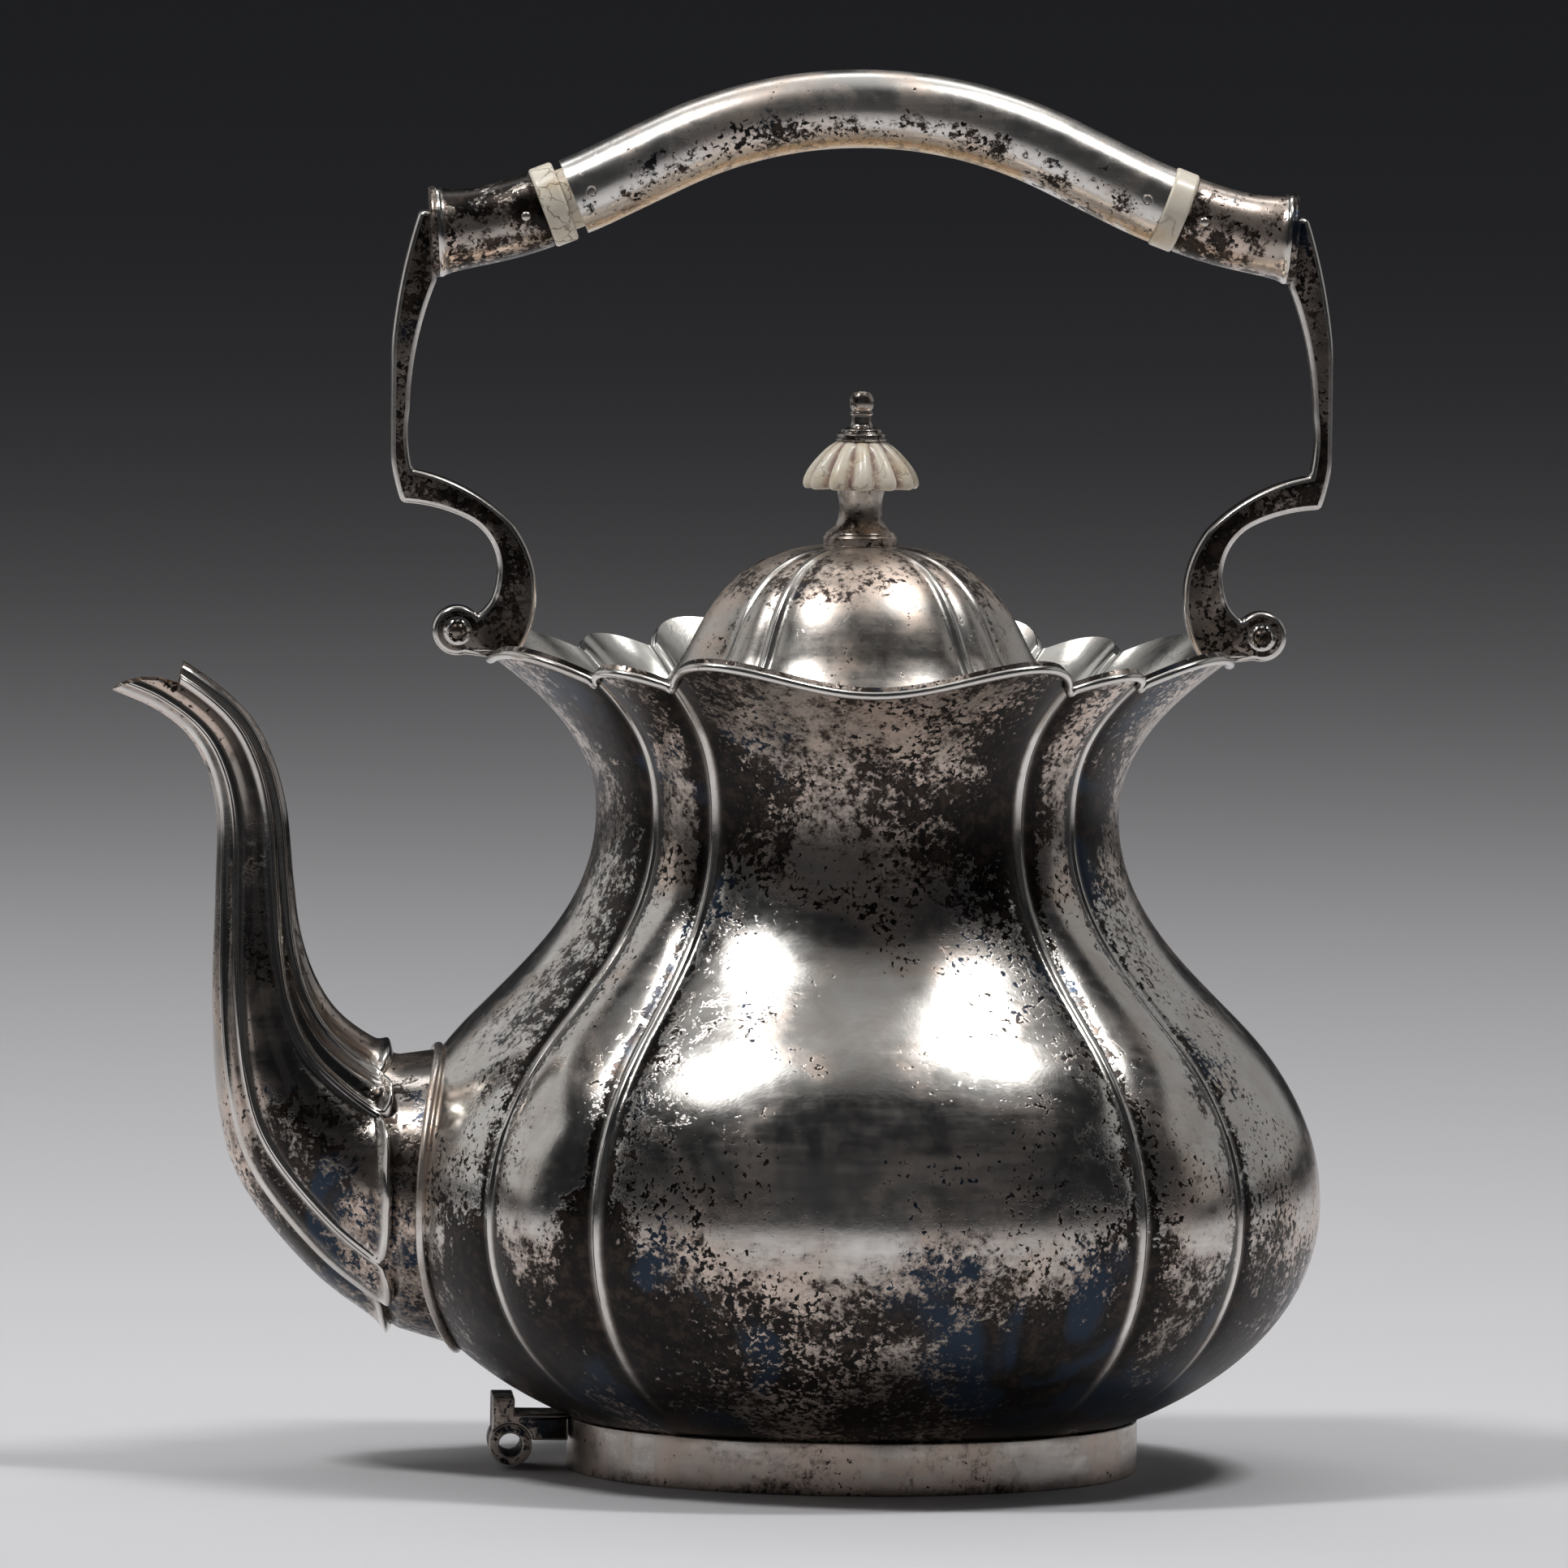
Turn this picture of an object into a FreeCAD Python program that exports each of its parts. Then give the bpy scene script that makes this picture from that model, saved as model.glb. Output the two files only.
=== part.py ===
"""Silver kettle-form teapot with a lobed body, fluted spout, lift-off lid and fixed arched handle.

The origin is the centre of the foot's underside, +Z is up and the spout points along -X.
All sizes are millimetres.
"""
import FreeCAD
import Part
import math
import os
import types

import Sketcher
from FreeCAD import Placement, Rotation, Vector

doc = FreeCAD.newDocument("silver_kettle")

# Driving dimensions: name, value, what it is
driving = [
    ("foot_radius", 57.0, "outside of the band foot"),
    ("foot_height", 10.4, "foot underside to the bottom of the vessel"),
    ("foot_wall", 1.6, "thickness of the foot band"),
    ("foot_edge_round", 0.8, "rounding of the foot's lower outer edge"),
    ("plate_thickness", 1.0, "let-in bottom plate"),
    ("base_inset", 1.4, "foot outside to the bottom edge of the vessel"),
    ("base_slope", 2.3, "widening per unit height at the bottom edge"),
    ("base_reach", 6.9, "curve handle at the bottom edge"),
    ("body_wall", 1.0, "sheet thickness of the vessel"),
    ("belly_radius", 92.6, "widest radius, at a panel's centre"),
    ("belly_height", 54.0, "height of the widest radius"),
    ("belly_reach_below", 28.6, "curve handle below the belly"),
    ("belly_reach_above", 20.5, "curve handle above the belly"),
    ("shoulder_radius", 73.5, "radius where the profile turns hollow"),
    ("shoulder_height", 92.2, "height where the profile turns hollow"),
    ("shoulder_slope", -1.0, "widening per unit height there"),
    ("shoulder_reach_below", 6.0, "curve handle below the shoulder"),
    ("shoulder_reach_above", 15.8, "curve handle above the shoulder"),
    ("neck_radius", 51.8, "narrowest radius"),
    ("neck_height", 130.5, "height of the narrowest radius"),
    ("neck_reach_below", 16.7, "curve handle below the neck"),
    ("neck_reach_above", 16.8, "curve handle above the neck"),
    ("flare_radius", 80.9, "flared collar, before its edge is scalloped"),
    ("flare_height", 167.0, "top of the collar, before its edge is scalloped"),
    ("flare_slope", 1.35, "widening per unit height at the top"),
    ("flare_reach", 15.9, "curve handle at the top"),
    ("lobe_half_angle", 9.0, "half the angle of a narrow lobe"),
    ("crease_belly", 1.2, "crease below the panel's centre, at the belly"),
    ("crease_neck", 0.8, "the same at the neck"),
    ("crease_rim", 3.7, "the same at the rim"),
    ("lobe_belly", 1.8, "rise of a narrow lobe over its creases, at the belly"),
    ("lobe_neck", 1.2, "the same at the neck"),
    ("lobe_rim", 1.6, "the same at the rim"),
    ("cusp_drop", 8.3, "top of the collar down to a rim cusp"),
    ("lobe_drop", 5.2, "down to the peak of a narrow lobe"),
    ("ear_drop", 3.2, "down to the two ears of a wide panel"),
    ("ear_angle", 21.5, "ear's angle from its panel's centre"),
    ("front_drop", 8.1, "down to the dip of the front and back panels"),
    ("side_drop", 5.7, "down to the dip of the side panels, under the arms"),
    ("wire_height", 1.4, "height of the rim wire"),
    ("wire_proud", 0.35, "rim wire beyond the sheet on either face"),
    ("strainer_hole", 1.8, "radius of a straining hole"),
    ("strainer_pitch", 6.5, "spacing of the straining holes"),
    ("spout_wall", 0.9, "sheet thickness of the spout"),
    ("spout_lobe_angle", 12.0, "half the angle of a narrow flute"),
    ("spout_crease", 0.05, "crease depth as a share of the spout's half size"),
    ("spout_lobe", 0.06, "rise of a narrow flute as the same share"),
    ("hood_out", 42.0, "belly radius out to the notch behind the lower lip"),
    ("hood_up", 100.9, "belly height up to the notch"),
    ("hood_lean", 0.18, "lean of the hood's front edge towards the body, per unit height"),
    ("lip_fall", 1.3, "fall of the lower lip from the notch to its tip"),
    ("collar_wall", 1.8, "thickness of the plain sleeve"),
    ("bead_proud", 0.9, "bead outside the sleeve"),
    ("bead_width", 2.2, "bead along the sleeve"),
    ("barrel_radius", 4.3, "outside of the hinge barrel"),
    ("barrel_bore", 2.3, "radius of the barrel's bore"),
    ("barrel_length", 17.0, "length of the barrel"),
    ("barrel_offset", 10.8, "foot's outside to the barrel's axis"),
    ("barrel_height", 5.0, "foot's underside to the barrel's axis"),
    ("strap_bottom", 6.0, "underside of the strap between foot and barrel"),
    ("strap_top", 10.9, "top of that strap"),
    ("upright_out", 14.4, "foot's outside to the outer face of the upright"),
    ("upright_thickness", 4.4, "thickness of the upright"),
    ("upright_top", 14.4, "top of the upright"),
    ("deck_drop", 16.2, "top of the collar down to the lid's seat"),
    ("deck_thickness", 1.2, "plate that carries the lid"),
    ("mouth_radius", 38.4, "opening in that plate"),
    ("mouth_clearance", 0.4, "running gap round the lid's bezel"),
    ("bezel_wall", 1.0, "thickness of the lid's bezel"),
    ("bezel_depth", 8.0, "bezel below the seat"),
    ("bezel_flange", 1.0, "thickness of the bezel's flange"),
    ("lid_wall", 0.9, "sheet thickness of the lid"),
    ("lid_lap", 4.1, "lid's edge beyond the mouth opening"),
    ("lid_edge_slope", -0.75, "widening per unit height at the lid's edge"),
    ("lid_edge_reach", 5.0, "curve handle at the lid's edge"),
    ("lid_waist_in", 4.8, "mouth opening in to where the lid's flare turns into the dome"),
    ("lid_waist_rise", 12.7, "seat up to that place"),
    ("lid_waist_slope", -0.5, "widening per unit height there"),
    ("lid_waist_reach", 4.0, "curve handle below that place"),
    ("lid_dome_reach", 8.0, "curve handle above that place"),
    ("lid_crown_radius", 7.0, "flat at the top of the lid"),
    ("lid_rise", 32.7, "seat up to that flat"),
    ("lid_crown_reach", 18.0, "curve handle at the top"),
    ("lid_crown_slope", 0.06, "fall per unit width at the edge of that flat"),
    ("lid_crease", 1.0, "crease depth on the lid"),
    ("lid_lobe", 1.1, "rise of a narrow lobe on the lid"),
    ("stem_flange_radius", 7.3, "foot flange of the knob's stem"),
    ("stem_flange_height", 2.4, "height of that flange"),
    ("stem_neck_radius", 3.8, "narrowest part of the stem"),
    ("stem_neck_rise", 7.1, "flat of the lid up to that part"),
    ("stem_curve", 6.0, "radius of the hollow curve down to the flange"),
    ("stem_top_radius", 5.0, "top of the stem"),
    ("stem_height", 11.2, "whole stem"),
    ("cap_edge_radius", 10.4, "underside of the fluted cap"),
    ("cap_radius", 11.7, "widest radius of the fluted cap"),
    ("cap_belly_rise", 2.0, "underside up to the widest radius"),
    ("cap_top_radius", 4.6, "flat top of the cap"),
    ("cap_height", 9.4, "whole cap"),
    ("cap_crown_round", 10.5, "radius of the cap's rounded shoulder"),
    ("flute_count", 12, "flutes round the cap"),
    ("flute_radius", 2.6, "radius of a flute"),
    ("flute_depth", 1.1, "depth of a flute at the widest radius"),
    ("finial_collar_radius", 5.0, "silver collar over the cap"),
    ("finial_collar_height", 2.3, "height of that collar"),
    ("finial_cone_radius", 3.3, "cone on the collar, at its foot"),
    ("finial_neck_radius", 2.1, "neck under the ball"),
    ("finial_neck_rise", 3.9, "cap's top up to the neck"),
    ("finial_neck_height", 2.7, "height of the neck"),
    ("ball_radius", 2.4, "ball at the top"),
    ("ball_flat", 0.5, "flat radius at the ball's top"),
    ("stud_radius", 1.5, "threaded rod through the knob"),
    ("stud_clearance", 0.1, "gap round the rod"),
    ("stud_into_finial", 4.0, "rod inside the finial"),
    ("nut_radius", 4.0, "round nut under the lid"),
    ("nut_height", 3.0, "height of the nut"),
    ("stud_below_nut", 1.0, "rod past the nut"),
    ("grip_rise", 108.6, "rim under the arms up to the grip's highest axis point"),
    ("grip_radius", 7.75, "outside of the grip"),
    ("grip_wall", 0.9, "sheet thickness of the grip and sockets"),
    ("arch_radius", 88.0, "axis radius of the grip's crown"),
    ("leg_slope", 26.0, "slope of the grip's straight legs, degrees"),
    ("sweep_start", 52.4, "distance from the middle where the axis curves back"),
    ("sweep_radius", 87.0, "axis radius of that curve"),
    ("ring_at", 59.1, "distance from the middle of an insulator's inner face"),
    ("ring_width", 4.9, "visible width of an insulator"),
    ("ring_proud", 0.4, "insulator beyond the grip all round"),
    ("ring_edge", 0.7, "rounding of an insulator's edges"),
    ("loose_gap", 1.8, "gap where the left insulator has drawn out of the grip"),
    ("tenon_length", 8.0, "insulator's tenons inside grip and socket"),
    ("tenon_clearance", 0.65, "gap round the tenons, for the axis curve"),
    ("socket_end", 84.4, "distance from the middle of a socket's outer end"),
    ("socket_end_slope", 4.0, "slope of the axis there, degrees"),
    ("socket_flare", 1.25, "flared outer end of a socket beyond the grip all round"),
    ("flare_start", 0.65, "where a socket begins to flare, as a share of its length"),
    ("flare_middle", 0.88, "a place within that flare, likewise"),
    ("flare_rise", 0.35, "widening at that place"),
    ("disc_thickness", 1.2, "disc that closes a socket"),
    ("disc_edge", 0.3, "how far the disc's edge is rounded in"),
    ("pin_radius", 1.15, "cross pins"),
    ("pin_flat", 0.25, "flat radius at a pin's end"),
    ("pin_proud", 0.45, "pin beyond the tube on either face"),
    ("pin_inset", 3.6, "pin from the end of its tube"),
    ("arm_depth", 7.0, "arms front to back"),
    ("arm_top_width", 1.6, "arm at the top of the disc"),
    ("arm_top_up", 3.8, "disc's centre up to the arm's top"),
    ("arm_low_down", 9.4, "disc's centre down to where the arm leaves it"),
    ("arm_width", 3.1, "arm's post beside the grip"),
    ("post_bulge", 0.8, "elbow out to the outermost point of the post"),
    ("post_bulge_share", 0.42, "height of that point from elbow to disc, as a share"),
    ("post_bow", 0.9, "bow of the post's outer edge below that point"),
    ("post_inner_bow", 0.6, "bow of its inner edge there"),
    ("post_top_bow", 1.6, "bow of the outer edge above that point"),
    ("post_top_inner_bow", 1.2, "bow of the inner edge there"),
    ("elbow_out", 20.0, "rim under an arm out to the arm's elbow"),
    ("elbow_rise", 30.6, "rim up to the elbow's underside"),
    ("elbow_tip_in", 1.6, "elbow in to its lower corner"),
    ("elbow_inner_in", 2.9, "elbow in to its upper corner"),
    ("elbow_inner_rise", 5.6, "elbow's underside up to that corner"),
    ("under_out", 5.5, "rim out to where the scroll's inner curve begins"),
    ("under_drop", 3.2, "elbow's underside down to that place"),
    ("under_bow", 0.7, "bow of the elbow's underside"),
    ("scroll_top_in", 3.2, "rim in to where the scroll's outer curve begins"),
    ("scroll_top_drop", 5.2, "elbow's underside down to that place"),
    ("scroll_top_bow", 1.9, "bow of the edge from there to the elbow"),
    ("scroll_in", 7.4, "rim in to the scroll's inmost point"),
    ("scroll_mid_rise", 15.5, "rim up to that point"),
    ("scroll_width", 6.4, "arm across the scroll"),
    ("scroll_inner_rise", 1.5, "inner curve's middle above the outer one's"),
    ("seat_in", 3.4, "rim in to the inner end of the arm's seat"),
    ("seat_drop", 1.0, "rim down to that place, before the arm is fitted to the rim"),
    ("volute_out", 7.4, "rim out to the volute's centre"),
    ("volute_rise", 4.8, "rim up to the volute's centre"),
    ("volute_radius", 4.9, "outside of the volute"),
    ("volute_join_turn", 37.0, "turn from level to where the inner curve meets the volute"),
    ("volute_foot_turn", 72.0, "turn from level to where the volute meets the seat"),
    ("boss_radius", 1.9, "ball in the volute's eye"),
]

# Spout stations from the body to the tip: upper edge beyond the belly and above its widest
# level, lower edge likewise, and half the width
spout_stations = [
    (-2.2, 29.0, -2.2, -27.6, 33.0),
    (1.5, 30.3, 14.4, -15.4, 26.0),
    (9.3, 35.8, 28.4, 1.5, 20.5),
    (14.1, 42.6, 33.4, 17.0, 16.3),
    (17.2, 51.4, 34.9, 38.0, 11.5),
    (18.8, 62.5, 34.6, 58.0, 8.6),
    (20.4, 77.0, 34.4, 74.0, 7.4),
    (24.0, 88.7, 36.4, 84.0, 6.9),
    (29.9, 97.3, 40.4, 91.0, 6.4),
    (41.3, 105.8, 46.9, 96.0, 6.2),
    (50.6, 109.4, 55.1, 99.6, 5.6),
]
station_names = ("upper_out", "upper_up", "lower_out", "lower_up", "half_width")
for station, values in enumerate(spout_stations):
    for name, value in zip(station_names, values):
        note = f"spout station {station}, {name.replace('_', ' ')}"
        driving.append((f"spout_{name}_{station}", value, note))

sheet = doc.addObject("Spreadsheet::Sheet", "dims")
for row, (alias, value, note) in enumerate(driving, start=1):
    sheet.set(f"A{row}", alias)
    sheet.set(f"B{row}", str(value))
    sheet.setAlias(f"B{row}", alias)
    sheet.set(f"C{row}", note)
doc.recompute()


class Size:
    """A number from the sheet, or worked out from it, with the expression that gives it."""

    def __init__(self, value, text):
        self.value = value
        self.text = text

    @staticmethod
    def of(other):
        return other if isinstance(other, Size) else Size(float(other), repr(float(other)))

    def __float__(self):
        return self.value

    def __add__(self, other):
        other = Size.of(other)
        return Size(self.value + other.value, f"({self.text} + {other.text})")

    def __sub__(self, other):
        other = Size.of(other)
        return Size(self.value - other.value, f"({self.text} - {other.text})")

    def __mul__(self, other):
        other = Size.of(other)
        return Size(self.value * other.value, f"({self.text} * {other.text})")

    __radd__ = __add__
    __rmul__ = __mul__

    def __rsub__(self, other):
        return Size.of(other) - self


dim = types.SimpleNamespace(
    **{alias: Size(float(sheet.get(alias)), f"dims.{alias}") for alias, value, note in driving})
pieces = []


def keep(piece):
    """Lists a finished sub-part for writing."""
    pieces.append(piece)
    return piece


def formed(label, shape, placement=Placement()):
    """A sub-part whose form is raised or swept rather than turned or cut from the flat."""
    piece = doc.addObject("Part::Feature", label)
    piece.Label = label
    piece.Shape = shape
    piece.Placement = placement
    return piece


def cut(label, base, *tools):
    """The base with each tool taken away in turn."""
    base.Label = label + "_blank"
    result = base
    for tool in tools:
        step = doc.addObject("Part::Cut", label + "_cut")
        step.Base = result
        step.Tool = tool
        result = step
    result.Label = label
    return result


def arc_edge(start, end, radius):
    """Circle arc of under half a turn; a positive radius turns left from start to end."""
    chord = end - start
    half = chord.Length / 2
    left = Vector(-chord.y, chord.x, 0).normalize()
    side = math.copysign(1, radius)
    centre = start + chord * 0.5 + left * (side * math.sqrt(radius * radius - half * half))
    first, last = (start, end) if radius > 0 else (end, start)
    angles = [math.atan2(point.y - centre.y, point.x - centre.x) for point in (first, last)]
    circle = Part.Circle(centre, Vector(0, 0, 1), abs(radius))
    return Part.ArcOfCircle(circle, angles[0], angles[1])


def hold_point(sketch, geometry, end, x, y):
    """Ties one end of a sketch edge to its two distances from the sketch's origin."""
    for kind, place, axis in (("DistanceX", x, -2), ("DistanceY", y, -1)):
        if abs(place.value) < 1e-9:
            sketch.addConstraint(Sketcher.Constraint("PointOnObject", geometry, end, axis))
        else:
            index = sketch.addConstraint(
                Sketcher.Constraint(kind, -1, 1, geometry, end, place.value))
            sketch.setExpression(f"Constraints[{index}]", place.text)


def origin_plane(body, role):
    return next(plane for plane in body.Origin.OriginFeatures if plane.Role == role)


def draw(body, name, role, outline):
    """Closed sketch; a corner is (x, y), or (x, y, radius) where an arc leads to the next one."""
    sketch = body.newObject("Sketcher::SketchObject", name)
    sketch.AttachmentSupport = [(origin_plane(body, role), "")]
    sketch.MapMode = "FlatFace"
    corners = [tuple(Size.of(value) for value in corner) for corner in outline]
    starts, ends, arcs = [], [], []
    for index, corner in enumerate(corners):
        following = corners[(index + 1) % len(corners)]
        start = Vector(corner[0].value, corner[1].value, 0)
        end = Vector(following[0].value, following[1].value, 0)
        if len(corner) == 2:
            sketch.addGeometry(Part.LineSegment(start, end))
            starts.append(1)
            ends.append(2)
        else:
            sketch.addGeometry(arc_edge(start, end, corner[2].value))
            starts.append(1 if corner[2].value > 0 else 2)
            ends.append(2 if corner[2].value > 0 else 1)
            arcs.append((index, corner[2]))
    for index, corner in enumerate(corners):
        following = (index + 1) % len(corners)
        sketch.addConstraint(
            Sketcher.Constraint("Coincident", index, ends[index], following, starts[following]))
        hold_point(sketch, index, starts[index], corner[0], corner[1])
    for index, radius in arcs:
        positive = radius if radius.value > 0 else 0 - radius
        number = sketch.addConstraint(Sketcher.Constraint("Radius", index, positive.value))
        sketch.setExpression(f"Constraints[{number}]", positive.text)
    return sketch


def turned(label, outline):
    """A piece turned about its own Z axis from a half section (radius, height)."""
    body = doc.addObject("PartDesign::Body", label)
    body.Label = label
    sketch = draw(body, label + "_section", "XZ_Plane", outline)
    turning = body.newObject("PartDesign::Revolution", label + "_turned")
    turning.Profile = sketch
    turning.ReferenceAxis = (sketch, ["V_Axis"])
    turning.Angle = 360
    return body


def padded(label, outline, depth):
    """A piece cut from an outline in the XZ plane, centred on Y = 0."""
    body = doc.addObject("PartDesign::Body", label)
    body.Label = label
    sketch = draw(body, label + "_outline", "XZ_Plane", outline)
    pad = body.newObject("PartDesign::Pad", label + "_pad")
    pad.Profile = sketch
    pad.SideType = "Symmetric"
    pad.Length = depth.value
    pad.setExpression("Length", depth.text)
    return body


# Levels that several pieces share
base_radius = dim.foot_radius - dim.base_inset
foot_inside = dim.foot_radius - dim.foot_wall
seat_height = dim.flare_height - dim.deck_drop
lid_top = seat_height + dim.lid_rise
stem_top = lid_top + dim.stem_height
cap_top = stem_top + dim.cap_height
rim_side = dim.flare_height - dim.side_drop
stud_bore = dim.stud_radius + dim.stud_clearance


def stretch(start, end, start_slope, end_slope, start_reach, end_reach):
    """Profile curve between two (radius, height) knots with slopes and handle lengths."""
    first = Vector(float(start[0]), float(start[1]), 0)
    last = Vector(float(end[0]), float(end[1]), 0)
    leaving = Vector(*start_slope, 0).normalize() * float(start_reach)
    arriving = Vector(*end_slope, 0).normalize() * float(end_reach)
    curve = Part.BezierCurve()
    curve.setPoles([first, first + leaving, last - arriving, last])
    return curve


def profile_points(curves, steps, offset):
    """Points (radius, height) along joined profile curves, moved outwards by the offset."""
    points = []
    for number, curve in enumerate(curves):
        for step in range(0 if number == 0 else 1, steps + 1):
            share = step / steps
            place = curve.value(share)
            along = curve.tangent(share)[0]
            points.append((place.x + offset * along.y, place.y - offset * along.x))
    return points


def blend(height, stations):
    """Smooth change of a value between (height, value) stations."""
    if height <= stations[0][0]:
        return stations[0][1]
    for (low, before), (high, after) in zip(stations, stations[1:]):
        if height <= high:
            share = (height - low) / (high - low)
            return before + (after - before) * share * share * (3 - 2 * share)
    return stations[-1][1]


def lobed_wire(centre, side, up, half_side, half_up, half_lobe, crease, lobe):
    """Closed wire of four wide and four narrow convex arcs that meet in creases.

    Wide arcs lie on the two axes, narrow ones on the diagonals. Crease is the depth of a crease
    and lobe the rise of a narrow arc over it, both as shares of the half sizes.
    """
    def place(degrees, reach):
        angle = math.radians(degrees)
        return (centre + side * (half_side * reach * math.cos(angle))
                + up * (half_up * reach * math.sin(angle)))

    edges = []
    for quarter in range(4):
        wide = 90 * quarter
        narrow = wide + 45
        first = place(narrow - 90 + half_lobe, 1 - crease)
        second = place(narrow - half_lobe, 1 - crease)
        third = place(narrow + half_lobe, 1 - crease)
        edges.append(Part.Arc(first, place(wide, 1), second).toShape())
        edges.append(Part.Arc(second, place(narrow, 1 - crease + lobe), third).toShape())
    return Part.Wire(edges)


def round_section(radius, height, half_lobe, crease, lobe):
    """Lobed wire of the vessel or lid, with crease and lobe in millimetres."""
    return lobed_wire(Vector(0, 0, height), Vector(1, 0, 0), Vector(0, 1, 0),
                      radius, radius, half_lobe, crease / radius, lobe / radius)


body_curves = [
    stretch((base_radius, dim.foot_height), (dim.belly_radius, dim.belly_height),
            (dim.base_slope.value, 1), (0, 1), dim.base_reach, dim.belly_reach_below),
    stretch((dim.belly_radius, dim.belly_height), (dim.shoulder_radius, dim.shoulder_height),
            (0, 1), (dim.shoulder_slope.value, 1), dim.belly_reach_above,
            dim.shoulder_reach_below),
    stretch((dim.shoulder_radius, dim.shoulder_height), (dim.neck_radius, dim.neck_height),
            (dim.shoulder_slope.value, 1), (0, 1), dim.shoulder_reach_above,
            dim.neck_reach_below),
    stretch((dim.neck_radius, dim.neck_height), (dim.flare_radius, dim.flare_height),
            (0, 1), (dim.flare_slope.value, 1), dim.neck_reach_above, dim.flare_reach),
]
rim_cusp = dim.flare_height - dim.cusp_drop
crease_stations = [
    (dim.foot_height.value, 0.0),
    (dim.belly_height.value, dim.crease_belly.value),
    (dim.neck_height.value, dim.crease_neck.value),
    (rim_cusp.value, dim.crease_rim.value),
]
lobe_stations = [
    (dim.foot_height.value, 0.0),
    (dim.belly_height.value, dim.lobe_belly.value),
    (dim.neck_height.value, dim.lobe_neck.value),
    (rim_cusp.value, dim.lobe_rim.value),
]


def vessel_form(offset, curves=None):
    """Solid lobed form of the vessel, grown outwards by the offset."""
    sections = [
        round_section(radius, height, dim.lobe_half_angle.value,
                      blend(height, crease_stations), blend(height, lobe_stations))
        for radius, height in profile_points(curves or body_curves, 4, offset)]
    return Part.makeLoft(sections, True, False)


def scallop_prism(half_angle, knots, turn):
    """Everything above a scalloped edge within one panel, whose height depends on angle alone.

    Knots are (angle, height) across the panel; the two ends lie on the creases.
    """
    top = dim.flare_height.value + dim.cusp_drop.value
    near = dim.mouth_radius.value
    wires = []
    for distance in (near, near + dim.flare_radius.value):
        points = [Vector(distance * math.tan(math.radians(angle)), -distance, height)
                  for angle, height in knots]
        edge = Part.BSplineCurve()
        edge.interpolate(Points=points, Parameters=[angle / half_angle for angle, height in knots])
        first, last = points[0], points[-1]
        first_top = Vector(first.x, first.y, top)
        last_top = Vector(last.x, last.y, top)
        wires.append(Part.Wire([
            edge.toShape(),
            Part.makeLine(last, last_top),
            Part.makeLine(last_top, first_top),
            Part.makeLine(first_top, first),
        ]))
    prism = Part.makeLoft(wires, True, True)
    prism.rotate(Vector(0, 0, 0), Vector(0, 0, 1), turn)
    return prism


def scallop_crown():
    """The space over the scalloped rim, all the way round."""
    half_narrow = dim.lobe_half_angle.value
    half_wide = 45 - half_narrow
    cusp = rim_cusp.value
    ear = dim.flare_height.value - dim.ear_drop.value
    peak = dim.flare_height.value - dim.lobe_drop.value
    ear_angle = dim.ear_angle.value
    prisms = []
    for quarter in range(4):
        drop = dim.front_drop.value if quarter % 2 == 0 else dim.side_drop.value
        dip = dim.flare_height.value - drop
        wide_knots = [(-half_wide, cusp), (-ear_angle, ear), (0, dip), (ear_angle, ear),
                      (half_wide, cusp)]
        narrow_knots = [(-half_narrow, cusp), (0, peak), (half_narrow, cusp)]
        prisms.append(scallop_prism(half_wide, wide_knots, 90 * quarter))
        prisms.append(scallop_prism(half_narrow, narrow_knots, 90 * quarter + 45))
    return prisms[0].multiFuse(prisms[1:])


vessel_outside = vessel_form(0)
vessel_inside = vessel_form(-dim.body_wall.value)
crown = scallop_crown()
crown_below_wire = crown.copy()
crown_below_wire.translate(Vector(0, 0, -dim.wire_height.value))


def strainer_holes():
    """Straining holes through the spout side of the belly, in two rings about one hole."""
    centres = [(0, 0)]
    for ring in (1, 2):
        for number in range(6 * ring):
            angle = math.radians(360 * number / (6 * ring))
            reach = ring * dim.strainer_pitch.value
            centres.append((reach * math.cos(angle), reach * math.sin(angle)))
    depth = dim.belly_radius.value - dim.neck_radius.value
    start = -dim.belly_radius.value - depth / 2
    drills = [
        Part.makeCylinder(dim.strainer_hole.value, depth,
                          Vector(start, across, dim.belly_height.value + rise), Vector(1, 0, 0))
        for across, rise in centres]
    return Part.makeCompound(drills)


def make_body_shell():
    throat = Part.makeCylinder(base_radius.value - dim.body_wall.value, dim.foot_height.value,
                               Vector(0, 0, dim.foot_height.value / 2))
    shell = vessel_outside.cut(vessel_inside).cut(throat).cut(crown_below_wire)
    return formed("body_shell", shell.cut(strainer_holes()))


def make_rim_wire():
    flare = body_curves[-1:]
    proud = dim.wire_proud.value
    band = vessel_form(proud, flare).cut(vessel_form(-dim.body_wall.value - proud, flare))
    return formed("rim_wire", band.common(crown_below_wire).cut(crown))


def make_foot_ring():
    edge = dim.foot_edge_round
    return turned("foot_ring", [
        (foot_inside, 0),
        (dim.foot_radius - edge, 0, edge),
        (dim.foot_radius, edge),
        (dim.foot_radius, dim.foot_height),
        (foot_inside, dim.foot_height),
    ])


def make_base_plate():
    underside = dim.foot_height - dim.plate_thickness
    return turned("base_plate", [
        (0, underside),
        (foot_inside, underside),
        (foot_inside, dim.foot_height),
        (0, dim.foot_height),
    ])


def make_neck_deck():
    plate = turned("neck_deck_blank", [
        (dim.mouth_radius, seat_height - dim.deck_thickness),
        (dim.flare_radius, seat_height - dim.deck_thickness),
        (dim.flare_radius, seat_height),
        (dim.mouth_radius, seat_height),
    ])
    deck = doc.addObject("Part::Common", "neck_deck")
    deck.Base = plate
    deck.Tool = formed("vessel_inside", vessel_inside)
    deck.Label = "neck_deck"
    return deck


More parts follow.
